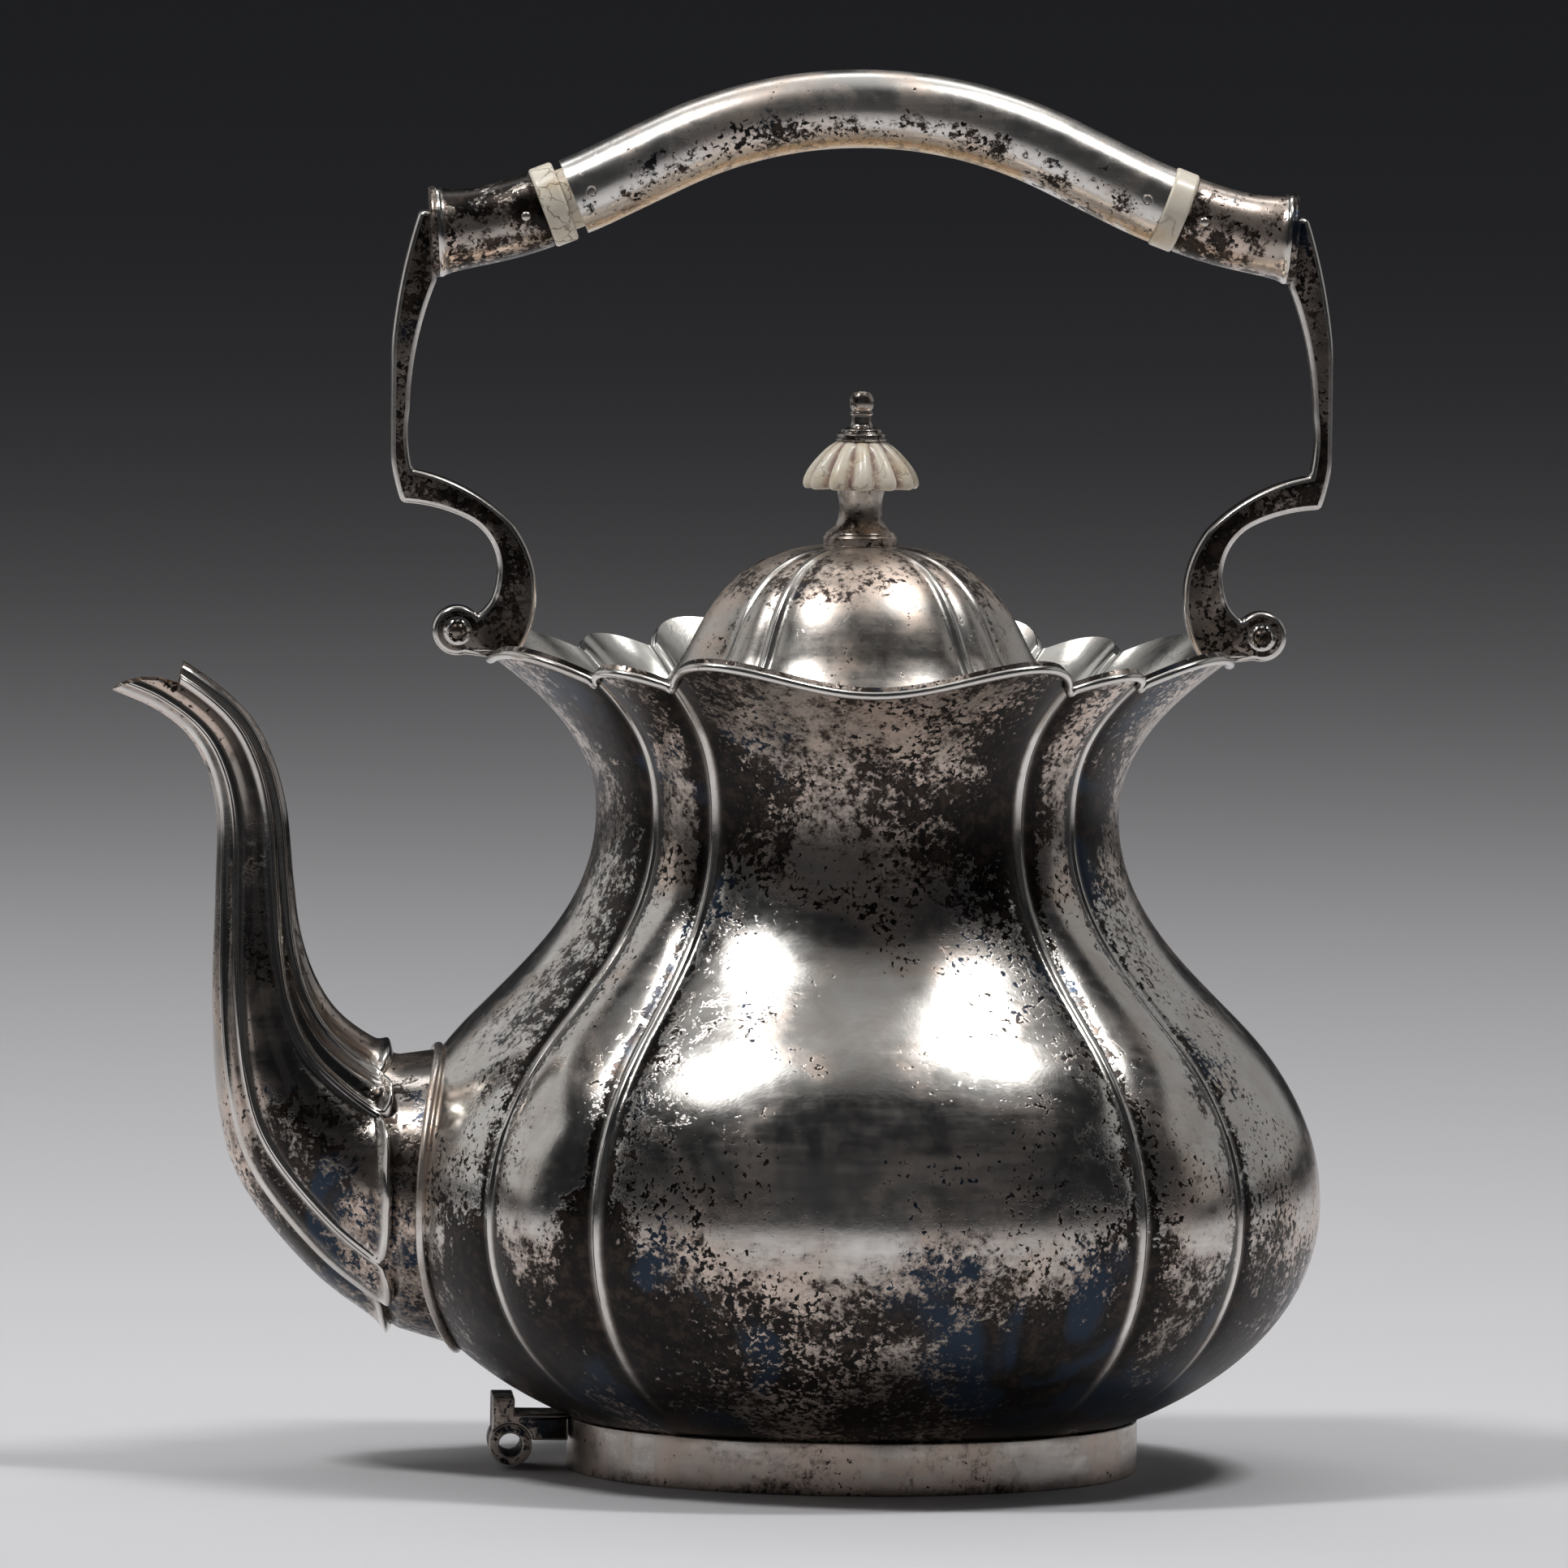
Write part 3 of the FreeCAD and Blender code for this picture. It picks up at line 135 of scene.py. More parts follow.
def endTree(wire, geometry, given):
    whole = wire.node("GeometryNodeRealizeInstances", {0: geometry})
    covered = wire.node("GeometryNodeSetMaterial", {0: whole, "Material": given["Material"]})
    last = wire.tree.nodes.new("NodeGroupOutput")
    wire.tree.links.new(covered.socket, last.inputs[0])
    return wire.tree


# Flat grid of columns and rows; its points run from 0 to 1 both ways
def flatGrid(wire, columns, rows):
    grid = wire.node("GeometryNodeMeshGrid", {
        "Size X": 1.0, "Size Y": 1.0, "Vertices X": columns + 1, "Vertices Y": rows + 1})
    gridX, gridY, unused = wire.node("GeometryNodeInputPosition").axes()
    return grid, gridX + 0.5, gridY + 0.5


def shapeOf(wire, source):
    return wire.node("GeometryNodeObjectInfo", {"Object": source}, "Geometry")


def pointAlong(wire, outline, factor):
    return wire.node("GeometryNodeSampleCurve", {"Curves": outline, "Factor": factor}, "Position",
                     mode="FACTOR")


def stored(wire, geometry, name, value):
    return wire.node("GeometryNodeStoreNamedAttribute", {
        "Geometry": geometry, "Name": name, "Value": value}, data_type="FLOAT")


def recalled(wire, name):
    return wire.node("GeometryNodeInputNamedAttribute", {"Name": name}, data_type="FLOAT")


def joinedParts(wire, parts):
    joined = wire.node("GeometryNodeJoinGeometry")
    for part in parts:
        wire.tree.links.new(part.socket, joined.socket.node.inputs[0])
    return joined


# Round section swept along a path
def sweptRound(wire, path, radius, sides, filled=False):
    ring = wire.node("GeometryNodeCurvePrimitiveCircle", {"Resolution": sides, "Radius": radius})
    return wire.node("GeometryNodeCurveToMesh", {
        0: path, "Profile Curve": ring, "Fill Caps": filled})


# Sheet with its points moved to their places and joined where they meet, within a gap in metres
def bentSheet(wire, grid, places, gap=5e-7):
    moved = wire.node("GeometryNodeSetPosition", {0: grid, "Position": places})
    return wire.node("GeometryNodeMergeByDistance", {0: moved, "Distance": gap})


def setInlets(modifier, tree, values):
    modifier.node_group = tree
    for item in tree.interface.items_tree:
        if item.in_out == "INPUT" and item.name in values:
            modifier[item.identifier] = values[item.name]


def linked(name, data):
    made = bpy.data.objects.new(name, data)
    scene.collection.objects.link(made)
    return made


# Turns a helper with its modifiers into a plain mesh object and drops the helper
def settled(helper, name):
    bpy.context.view_layer.update()
    graph = bpy.context.evaluated_depsgraph_get()
    mesh = bpy.data.meshes.new_from_object(helper.evaluated_get(graph),
                                           preserve_all_data_layers=True, depsgraph=graph)
    bpy.data.objects.remove(helper)
    mesh.name = name
    return linked(name, mesh)


def grown(name, tree, values):
    helper = linked(name + "Seed", bpy.data.meshes.new(name + "Seed"))
    setInlets(helper.modifiers.new("grow", "NODES"), tree, values)
    return helper


# Gives a sheet its thickness, inwards from the shaped face
def addWall(helper, thickness):
    wall = helper.modifiers.new("wall", "SOLIDIFY")
    wall.thickness = thickness * mm
    wall.offset = -1


# Smooth faces, with edges sharp above an angle; 0 leaves none sharp
def soften(piece, sharpDegrees):
    mesh = piece.data
    mesh.shade_smooth()
    if sharpDegrees:
        mesh.set_sharp_from_angle(angle=math.radians(sharpDegrees))
    return piece


def painted(piece, paint):
    piece.data.materials.clear()
    piece.data.materials.append(paint)
    return piece


# Grows a piece from its tree and drops the helpers that it used
def finished(name, tree, values, sharpDegrees, *helpers):
    piece = soften(settled(grown(name, tree, values), name), sharpDegrees)
    for helper in helpers:
        bpy.data.objects.remove(helper)
    return piece


def storeValues(piece, name, values, domain="POINT"):
    layer = piece.data.attributes.new(name, "FLOAT", domain)
    layer.data.foreach_set("value", np.asarray(values, dtype=np.float32))


# Stores how far each vertex stands out, for metal rubbed bright along its edges; an edge counts
# from a slight turn on, and each vertex takes the mean of itself and its neighbours
def storeRub(piece, fullDegrees):
    body = bmesh.new()
    body.from_mesh(piece.data)
    full = math.radians(fullDegrees)
    least = math.radians(8)
    rub = np.zeros(len(body.verts))
    for edge in body.edges:
        if len(edge.link_faces) == 2:
            turn = max(0.0, edge.calc_face_angle_signed(0.0) - least) / full
            for corner in edge.verts:
                rub[corner.index] = max(rub[corner.index], min(1.0, turn))
    ends = np.array([[corner.index for corner in edge.verts] for edge in body.edges])
    body.free()
    total, count = rub.copy(), np.ones(len(rub))
    for here, there in (ends.T, ends.T[::-1]):
        np.add.at(total, here, rub[there])
        np.add.at(count, here, 1)
    storeValues(piece, "rub", total / count)
    return piece


def closeUp(piece):
    body = bmesh.new()
    body.from_mesh(piece.data)
    bmesh.ops.remove_doubles(body, verts=body.verts, dist=1e-7)
    bmesh.ops.recalc_face_normals(body, faces=body.faces)
    body.to_mesh(piece.data)
    body.free()
    return piece


# Mesh over rows of points; columns run round and close
def skinned(name, rows, capped=False, closedRows=False):
    rows = np.asarray(rows, dtype=float) * mm
    rowCount, columnCount = rows.shape[:2]
    faces = []
    for row in range(rowCount if closedRows else rowCount - 1):
        after = (row + 1) % rowCount
        for column in range(columnCount):
            beside = (column + 1) % columnCount
            faces.append((row * columnCount + column, row * columnCount + beside,
                          after * columnCount + beside, after * columnCount + column))
    if capped:
        faces.append(tuple(reversed(range(columnCount))))
        faces.append(tuple((rowCount - 1) * columnCount + c for c in range(columnCount)))
    mesh = bpy.data.meshes.new(name)
    mesh.from_pydata(rows.reshape(-1, 3).tolist(), [], faces)
    return closeUp(linked(name, mesh))


# Turned form: rows of (radius, height) round the Z axis
def lathed(name, profile, columns, closed=True, shape=None):
    turn = np.arange(columns) * 2 * math.pi / columns
    rows = []
    for radius, height in profile:
        reach = np.full(columns, radius, dtype=float)
        if shape:
            reach = shape(reach, height, turn)
        rows.append(np.stack([reach * np.cos(turn), reach * np.sin(turn),
                              np.full(columns, height)], axis=1))
    return skinned(name, rows, closedRows=closed)


# Rounds a (radius, height, rounding) outline into a finer one
def eased(corners, steps=5, closed=True):
    count = len(corners)
    points = []
    for number, (x, z, rounding) in enumerate(corners):
        here = np.array([x, z])
        if rounding == 0 or (not closed and number in (0, count - 1)):
            points.append(here)
            continue
        before = np.array(corners[number - 1][:2]) - here
        after = np.array(corners[(number + 1) % count][:2]) - here
        start = here + before / np.linalg.norm(before) * rounding
        end = here + after / np.linalg.norm(after) * rounding
        for share in np.linspace(0, 1, steps):
            points.append((1 - share) ** 2 * start + 2 * share * (1 - share) * here
                          + share ** 2 * end)
    return [tuple(point) for point in points]


# Closed outline with its steps divided to about the limit
def refined(points, limit):
    fine = []
    for number, point in enumerate(points):
        start = np.array(point)
        end = np.array(points[(number + 1) % len(points)])
        steps = max(1, int(np.linalg.norm(end - start) / limit))
        fine += [tuple(start + (end - start) * step / steps) for step in range(steps)]
    return fine


# Turned piece from its corners, rubbed bright along its edges
def turnedPiece(name, corners, paint, limit, columns, sharp, rub, shape=None):
    piece = lathed(name, refined(eased(corners), limit), columns, True, shape)
    return painted(storeRub(soften(piece, sharp), rub), paint)


def pathCurve(name, points, cyclic):
    curve = bpy.data.curves.new(name, "CURVE")
    curve.dimensions = "3D"
    line = curve.splines.new("POLY")
    line.points.add(len(points) - 1)
    for place, point in zip(line.points, points):
        place.co = (*[float(v) * mm for v in point], 1.0)
    line.use_cyclic_u = cyclic
    return linked(name, curve)


# Profile in the XZ plane from knots (radius, height, slope, handle before, handle after)
def profileCurve(name, knots):
    curve = bpy.data.curves.new(name, "CURVE")
    curve.dimensions = "3D"
    curve.resolution_u = 64
    line = curve.splines.new("BEZIER")
    line.bezier_points.add(len(knots) - 1)
    for place, (radius, height, slope, before, after) in zip(line.bezier_points, knots):
        here = Vector((radius, 0, height)) * mm
        along = Vector((slope[0], 0, slope[1])).normalized() * mm
        place.handle_left_type = place.handle_right_type = "FREE"
        place.co = here
        place.handle_left = here - along * before
        place.handle_right = here + along * after
    return linked(name, curve)


def placed(piece, body, slot, *stoodFor):
    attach(piece, body)
    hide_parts(*stoodFor)


# Metals and ivory
class Paint:
    def __init__(self, name):
        self.material = bpy.data.materials.new(name)
        self.material.use_nodes = True
        self.wire = Wire(self.material.node_tree)
        self.shader = self.material.node_tree.nodes["Principled BSDF"]
        self.place = self.wire.node("ShaderNodeTexCoord").out("Object")
        self.x, self.y, self.z = self.place.axes()

    # Noise about the object's origin
    def mottle(self, scale, detail=4.0, rough=0.6, twist=0.0, shift=0.0, stretch=(1, 1, 1)):
        moved = self.wire.node("ShaderNodeMapping", {
            "Vector": self.place, "Location": (shift, shift * 0.7, -shift), "Scale": stretch})
        return self.wire.node("ShaderNodeTexNoise", {
            "Vector": moved, "Scale": scale, "Detail": detail, "Roughness": rough,
            "Distortion": twist})

    def attribute(self, name):
        return self.wire.node("ShaderNodeAttribute", outlet="Fac", attribute_name=name)

    def bump(self, height, strength, depth):
        return self.wire.node("ShaderNodeBump", {
            "Height": height, "Strength": strength, "Distance": depth})

    def join(self, **inlets):
        for name, value in inlets.items():
            self.wire.feed(self.shader.inputs[name.replace("_", " ")], value)
        return self.material


silverTones = {
    "clean": (0.80, 0.775, 0.735, 1),
    "haze": (0.46, 0.395, 0.345, 1),
    "rose": (0.72, 0.58, 0.49, 1),
    "umber": (0.090, 0.060, 0.044, 1),
    "soot": (0.010, 0.008, 0.007, 1),
    "blue": (0.018, 0.030, 0.050, 1),
    "smoke": (0.155, 0.128, 0.108, 1),
    "gold": (0.74, 0.53, 0.30, 1),
    "pale": (0.86, 0.84, 0.78, 1),
}


# How much each noise counts; a pair says where a stain or a zone starts and where it is full
tarnishMix = {
    "patch": 0.50, "crumb": 0.38, "grain": 0.20, "middle": 0.54, "stain": (-0.022, 0.030),
    "halo": (-0.065, 0.03), "brown": 0.45,
    "speck": 0.6, "speckCloud": 0.4, "speckBlack": 0.8, "speckMiddle": 0.545,
    "speckEdge": (0.0, 0.03),
    "hazeCloud": 0.7, "hazeStreak": 0.25, "hazeCrumb": 0.15, "hazeMiddle": 0.55,
    "hazeEdge": (-0.12, 0.16),
    "zoneFade": 0.35, "panelEdge": (0.25, 0.95), "underEdge": (-0.35, 0.55),
    "innerEdge": (0.002, -0.002), "innerBlack": 0.26, "innerHaze": 0.4,
    "seamEdge": (-0.82, -0.6),
}


# What a silver has where its own look says nothing
plainLook = {
    "shift": 0.0, "patchScale": 30, "crumbScale": 330, "speck": 0.0, "smoke": 0.0, "rub": 1.0,
    "age": 0.0, "ageDepth": 0.8, "blue": 0.0, "veil": 0.25, "hazeDepth": 0.9, "gloss": 0.15,
    "sootRough": 0.10, "relief": 0.16,
}


# Where tarnish gathers: how much black and haze, and which faces are the inside of the vessel.
# A look may add zones (height low, height high, more black, more haze)
def gathered(paint, look):
    mix = tarnishMix
    black = look["black"]
    haze = look["haze"]
    inner = None
    for low, high, moreBlack, moreHaze in look.get("zones", []):
        fade = (high - low) * mix["zoneFade"]
        within = (paint.z.step((low - fade) * mm, (low + fade) * mm)
                  * (1 - paint.z.step((high - fade) * mm, (high + fade) * mm)))
        black = within * moreBlack + black
        haze = within * moreHaze + haze
    if look.get("panelFrom"):
        panel = paint.attribute(look["panelFrom"]).step(*mix["panelEdge"])
        black = panel * look["panelBlack"] + black
    if look.get("ditchFrom"):
        black = paint.attribute(look["ditchFrom"]) * look["ditchBlack"] + black
    if look.get("under"):
        black = (1 - paint.attribute("up").step(*mix["underEdge"])) * look["under"] + black
    if look.get("inner"):
        # Faces that look towards the axis are cleaner
        facing = paint.wire.node("ShaderNodeNewGeometry").out("Normal").axes()
        inner = (facing[0] * paint.x + facing[1] * paint.y).step(*mix["innerEdge"])
        black = black - inner * mix["innerBlack"]
        haze = haze - inner * mix["innerHaze"]
    return black, haze, inner


# Old silver: bright where handled, hazed rose and grey, with black specks that gather in patches
def oldSilver(name, ownLook):
    paint = Paint(name)
    mix = tarnishMix
    look = {**plainLook, **ownLook}
    shift = look["shift"]
    patch = paint.mottle(look["patchScale"], 5, 0.62, 0.5, shift)
    crumb = paint.mottle(look["crumbScale"], 6, 0.7, 0.3, shift + 3.1)
    grain = paint.mottle(1100, 3, 0.7, 0.0, 7.7)
    cloud = paint.mottle(46, 4, 0.55, 0.8, shift + 11.0)
    streak = paint.mottle(60, 5, 0.7, 0.0, 5.0, (1, 1, 9))
    fine = paint.mottle(780, 3, 0.6, 0.2, shift + 41.0)
    black, haze, inner = gathered(paint, look)
    cover = patch * mix["patch"] + crumb * mix["crumb"] + grain * mix["grain"]
    stained = cover + black - mix["middle"]
    speck = (fine * mix["speck"] + cloud * mix["speckCloud"] + black * mix["speckBlack"]
             + look["speck"] - mix["speckMiddle"]).step(*mix["speckEdge"])
    dark = paint.wire.maths("MAXIMUM", stained.step(*mix["stain"]), speck)
    hazed = (cloud * mix["hazeCloud"] + streak * mix["hazeStreak"] + crumb * mix["hazeCrumb"]
             + haze - mix["hazeMiddle"]).step(*mix["hazeEdge"])
    smoke = look["smoke"]
    if look.get("rubFrom"):
        rub = (paint.attribute(look["rubFrom"]) * (0.5 + crumb)).held() * look["rub"]
        smoke = (1 - rub).held() * smoke
        dark = (dark * (1 - rub)).held()
        hazed = (hazed * (1 - rub * 0.8)).held()
    # Film, with a brown halo round the black
    film = cloud.step(0.38, 0.62).tint(silverTones["haze"], silverTones["rose"])
    halo = (stained + look["age"]).step(*mix["halo"])
    film = (halo * look["ageDepth"]).tint(film, silverTones["umber"])
    # Soot is brown in places and blue in others
    sooty = (crumb.step(0.46, 0.68) * mix["brown"]).tint(silverTones["soot"], silverTones["umber"])
    blued = paint.mottle(34, 3, 0.5, 0.6, shift + 21.0) + look["blue"] - 0.5
    sooty = blued.step(0.06, 0.14).tint(sooty, silverTones["blue"])
    thin = paint.mottle(75, 4, 0.6, 0.4, 31.0).step(0.35, 0.7)
    thin = (thin * look["veil"]).held()
    clean = thin.tint(silverTones["clean"], silverTones["haze"])
    if look["smoke"]:
        clean = smoke.tint(clean, silverTones["smoke"])
    if inner:
        clean = inner.tint(clean, silverTones["pale"])
    if look.get("seam"):
        # The solder seam under the grip shows gold
        under = (1 - paint.attribute("up").step(*mix["seamEdge"])) * cloud.step(0.38, 0.52)
        dark = dark * (1 - under * 0.6)
        clean = under.tint(clean, silverTones["gold"])
    tone = dark.tint((hazed * look["hazeDepth"]).tint(clean, film), sooty)
    # Fine scratches both ways
    scratch = paint.mottle(420, 2, 0.5, 0.0, 9.0, (0.06, 1.0, 1.0))
    scratch = scratch + paint.mottle(380, 2, 0.5, 0.0, 13.0, (1.0, 1.0, 0.05))
    rough = (look["gloss"] + hazed * 0.12 + dark * look["sootRough"]
             + (scratch - 1.0) * 0.09 + (crumb - 0.5) * 0.06)
    pits = grain * 0.25 + scratch * 0.12 - dark * 0.6 + cloud * 0.4
    return paint.join(Base_Color=tone, Metallic=1 - dark * 0.12 - hazed * 0.15,
                      Roughness=rough.held(0.05, 0.8),
                      Normal=paint.bump(pits, look["relief"], 0.0004))


print("materials ready")


# Vessel and lid share one rule: four wide and four narrow lobes round a profile
lobeInlets = {"Profile": "Object", "Wide Columns": "Int", "Narrow Columns": "Int", "Rows": "Int",
              "Lobe Half Angle": "Float", "Groove Depth": "Float", "Groove Width": "Float",
              "Rib Height": "Float", "Rib Width": "Float", "Waviness": "Float",
              "Wave Seed": "Float", "Wire Radius": "Float"}


# Bands beside each crease that the paint reads, in mm from the crease
paintBands = {"ridgeWidth": 0.9, "ditchFrom": 2.2, "ditchWidth": 1.0}
rippleScale = 26.0


# Sum of smooth steps that passes through (height, value) stations
def throughStations(height, stations):
    total = stations[0][1] * mm
    for (low, before), (high, after) in zip(stations, stations[1:]):
        total = height.step(low * mm, high * mm) * ((after - before) * mm) + total
    return total


# Height of the scalloped edge across each lobe
def scallopHeight(share, narrow, sidePanel, edge):
    square = share * share
    front = edge["frontDip"] + square * edge["frontRise"] + square * square * edge["frontFall"]
    side = edge["sideDip"] + square * edge["sideRise"] + square * square * edge["sideFall"]
    wide = sidePanel.pick(front, side)
    peak = edge["cusp"] + (1 - square) * (edge["peak"] - edge["cusp"])
    return narrow.pick(wide, peak) * mm


# Where each column lies: its quarter, kind of lobe, share across the lobe and half its angle
def lobePlace(given, column, quarterColumns):
    quarter = (column / quarterColumns + 0.001).calc("FLOOR")
    local = column - quarter * quarterColumns
    narrow = local > given["Wide Columns"] + 0.1
    span = narrow.pick(given["Wide Columns"], given["Narrow Columns"])
    across = (local - narrow * given["Wide Columns"]) * 2 / span - 1
    share = across * 1.5 - across * across * across * 0.5
    lobeHalf = given["Lobe Half Angle"] * (math.pi / 180)
    return quarter, narrow, share, narrow.pick(math.pi / 4 - lobeHalf, lobeHalf)


# Share of the profile at which it reaches the scalloped edge, closer with each lap
def edgeFactor(wire, outline, target, firstGuess):
    length = wire.node("GeometryNodeCurveLength", {0: outline})
    factor = wire.node("ShaderNodeValue")
    factor.socket.default_value = firstGuess
    for lap in range(4):
        guess = pointAlong(wire, outline, factor)
        rise = guess.axes()[2]
        slope = guess.out("Tangent").axes()[2]
        factor = factor + (target - rise) / (length * slope)
    return factor


# Reach of a lobe, which is an arc between its two creases
def arcReach(radius, crease, lobe, narrow, half, swing):
    low = radius - crease
    peak = narrow.pick(radius, low + lobe)
    offset = (peak * peak - low * low) / ((peak - low * half.calc("COSINE")) * 2)
    bend = peak - offset
    sway = offset * swing.calc("SINE")
    return offset * swing.calc("COSINE") + (bend * bend - sway * sway).calc("SQRT")


# Grid bent round the profile, with a rib along each crease and a groove beside it
def lobedSheet(wire, given, rule):
    quarterColumns = given["Wide Columns"] + given["Narrow Columns"]
    columns = quarterColumns * 4
    grid, sideways, row = flatGrid(wire, columns, given["Rows"])
    quarter, narrow, share, half = lobePlace(given, sideways * columns, quarterColumns)
    swing = half * share
    turn = quarter * (math.pi / 2) + narrow * (math.pi / 4) + swing
    outline = shapeOf(wire, given["Profile"])
    top = 1.0
    if rule["edge"]:
        evenPanel = 1 - (quarter * 0.5 - (quarter * 0.5).calc("FLOOR")) * 2
        target = scallopHeight(share.calc("ABSOLUTE"), narrow, evenPanel, rule["edge"])
        top = edgeFactor(wire, outline, target, rule["edge"]["firstGuess"])
    radius, unused, height = pointAlong(wire, outline, row * top).axes()
    crease = throughStations(height, rule["crease"])
    lobe = throughStations(height, rule["lobe"])
    reach = arcReach(radius, crease, lobe, narrow, half, swing)
    gap = (half - swing.calc("ABSOLUTE")) * radius
    groove = (gap * -1 / given["Groove Width"]).calc("EXPONENT") * given["Groove Depth"]
    rib = bell(gap, given["Rib Width"]) * given["Rib Height"]
    fade = height.step(rule["grooveFrom"][0] * mm, rule["grooveFrom"][1] * mm)
    reach = reach + (rib - groove) * fade
    ripple = wire.node("ShaderNodeTexNoise", {
        "Vector": roundPoint(wire, reach, turn, height), "W": given["Wave Seed"],
        "Scale": rippleScale, "Detail": 2.0}, noise_dimensions="4D")
    reach = reach + (ripple - 0.5) * given["Waviness"]
    # The rule reads the flat grid, so what the paint needs is stored before the points move
    fromDitch = gap - paintBands["ditchFrom"] * mm
    shown = {"crease": bell(gap, paintBands["ridgeWidth"] * mm) * fade, "row": row,
             "ditch": bell(fromDitch, paintBands["ditchWidth"] * mm) * fade,
             "panel": share.calc("ABSOLUTE")}
    for name, value in shown.items():
        grid = stored(wire, grid, name, value)
    return bentSheet(wire, grid, roundPoint(wire, reach, turn, height))


def lobedTree(name, rule):
    wire, given = startTree(name, lobeInlets)
    return endTree(wire, lobedSheet(wire, given, rule), given)


# Round wire along the scalloped edge
def rimTree(name, rule):
    wire, given = startTree(name, lobeInlets)
    sheet = lobedSheet(wire, given, rule)
    edge = wire.node("GeometryNodeMeshToCurve", {
        0: sheet, "Selection": recalled(wire, "row") > 0.999})
    lowered = wire.node("GeometryNodeSetPosition", {
        0: edge, "Offset": vectorOf(wire, 0.0, 0.0, given["Wire Radius"] * -1)})
    return endTree(wire, sweptRound(wire, lowered, given["Wire Radius"], 12), given)


# Tube or rod along a given path; "up" is how far the surface faces upwards
def pathTree():
    wire, given = startTree("alongPath", {
        "Path": "Object", "Wire Radius": "Float", "Sides": "Int", "Filled": "Bool"})
    swept = sweptRound(wire, shapeOf(wire, given["Path"]), given["Wire Radius"], given["Sides"],
                       given["Filled"])
    facing = wire.node("GeometryNodeInputNormal").axes()[2]
    return endTree(wire, stored(wire, swept, "up", facing), given)


# Straining holes drilled through the wall behind the spout
def strainerTree():
    wire, given = startTree("strainer", {
        "Geometry": "Geometry", "Hole Radius": "Float", "Pitch": "Float", "Drill Length": "Float",
        "Centre": "Vector"})
    rings = [wire.node("GeometryNodeMeshLine", {"Count": 1})]
    for ring in (1, 2):
        rings.append(wire.node("GeometryNodeMeshCircle", {
            "Vertices": 6 * ring, "Radius": given["Pitch"] * ring}))
    places = joinedParts(wire, reversed(rings))
    drill = wire.node("GeometryNodeMeshCylinder", {
        "Vertices": 20, "Radius": given["Hole Radius"], "Depth": given["Drill Length"]})
    spread = wire.node("GeometryNodeInstanceOnPoints", {0: places, "Instance": drill})
    aimed = wire.node("GeometryNodeTransform", {
        0: spread, "Translation": given["Centre"], "Rotation": (0, math.pi / 2, 0)})
    drills = wire.node("GeometryNodeRealizeInstances", {0: aimed})
    pierced = wire.node("GeometryNodeMeshBoolean", {0: given["Geometry"], 1: drills},
                        operation="DIFFERENCE", solver="MANIFOLD")
    return endTree(wire, pierced, given)


# Heights and the widest radius that other pieces take too
footHeight, bellyHeight, waistHeight, cuspHeight = 10.4, 54.0, 130.5, 158.7
bellyRadius = 92.6
vesselKnots = [
    (55.6, footHeight, (2.3, 1), 0, 6.9),
    (bellyRadius, bellyHeight, (0, 1), 28.6, 20.5),
    (73.5, 92.2, (-1, 1), 6.0, 15.8),
    (51.8, waistHeight, (0, 1), 16.7, 16.8),
    (80.9, 167.0, (1.35, 1), 15.9, 0),
]
vesselRule = {
    "crease": [(footHeight, 0.0), (bellyHeight, 1.2), (waistHeight, 0.8), (cuspHeight, 3.7)],
    "lobe": [(footHeight, 0.0), (bellyHeight, 1.8), (waistHeight, 1.2), (cuspHeight, 1.6)],
    "grooveFrom": (12.0, 40.0),
    "edge": {"frontDip": 158.9, "frontRise": 21.46, "frontFall": -21.66,
             "sideDip": 161.3, "sideRise": 12.33, "sideFall": -14.93,
             "cusp": cuspHeight, "peak": 161.8, "firstGuess": 0.94},
}
vesselLook = {
    "black": -0.13, "haze": -0.06, "rubFrom": "crease", "rub": 1.7, "inner": True,
    "panelFrom": "panel", "panelBlack": 0.085, "ditchFrom": "ditch", "ditchBlack": 0.07,
    "patchScale": 26, "blue": 0.03, "gloss": 0.15, "veil": 0.45, "age": 0.02, "speck": 0.04,
    "zones": [(0, 48, 0.138, 0.36), (108, 134, 0.04, 0.0), (126, 180, 0.09, 0.40)],
}
vesselPaint = oldSilver("vesselSilver", vesselLook)
vesselProfile = profileCurve("vesselProfile", vesselKnots)
vesselSizes = {"Profile": vesselProfile, "Wide Columns": 50, "Narrow Columns": 26, "Rows": 140,
               "Lobe Half Angle": 9.0, "Groove Depth": 0.0012, "Groove Width": 0.0019,
               "Rib Height": 0.0013, "Rib Width": 0.0007, "Waviness": 0.0004,
               "Wave Seed": 4.0, "Wire Radius": 0.00085, "Material": vesselPaint}
helper = grown("vessel", lobedTree("lobedRaise", vesselRule), vesselSizes)
addWall(helper, 1.0)
setInlets(helper.modifiers.new("pierce", "NODES"), strainerTree(), {
    "Hole Radius": 0.0018, "Pitch": 0.0065, "Drill Length": 0.03,
    "Centre": Vector((-bellyRadius, 0, bellyHeight)) * mm, "Material": vesselPaint})
vessel = soften(settled(helper, "vessel"), 50)
rimPaint = oldSilver("wireSilver", {"black": -0.16, "haze": -0.12, "gloss": 0.2, "veil": 0.2})
rim = finished("rimWire", rimTree("rimSweep", vesselRule),
               {**vesselSizes, "Rows": 4, "Material": rimPaint}, 0, vesselProfile)
print("vessel", len(vessel.data.polygons), "rim", len(rim.data.polygons))

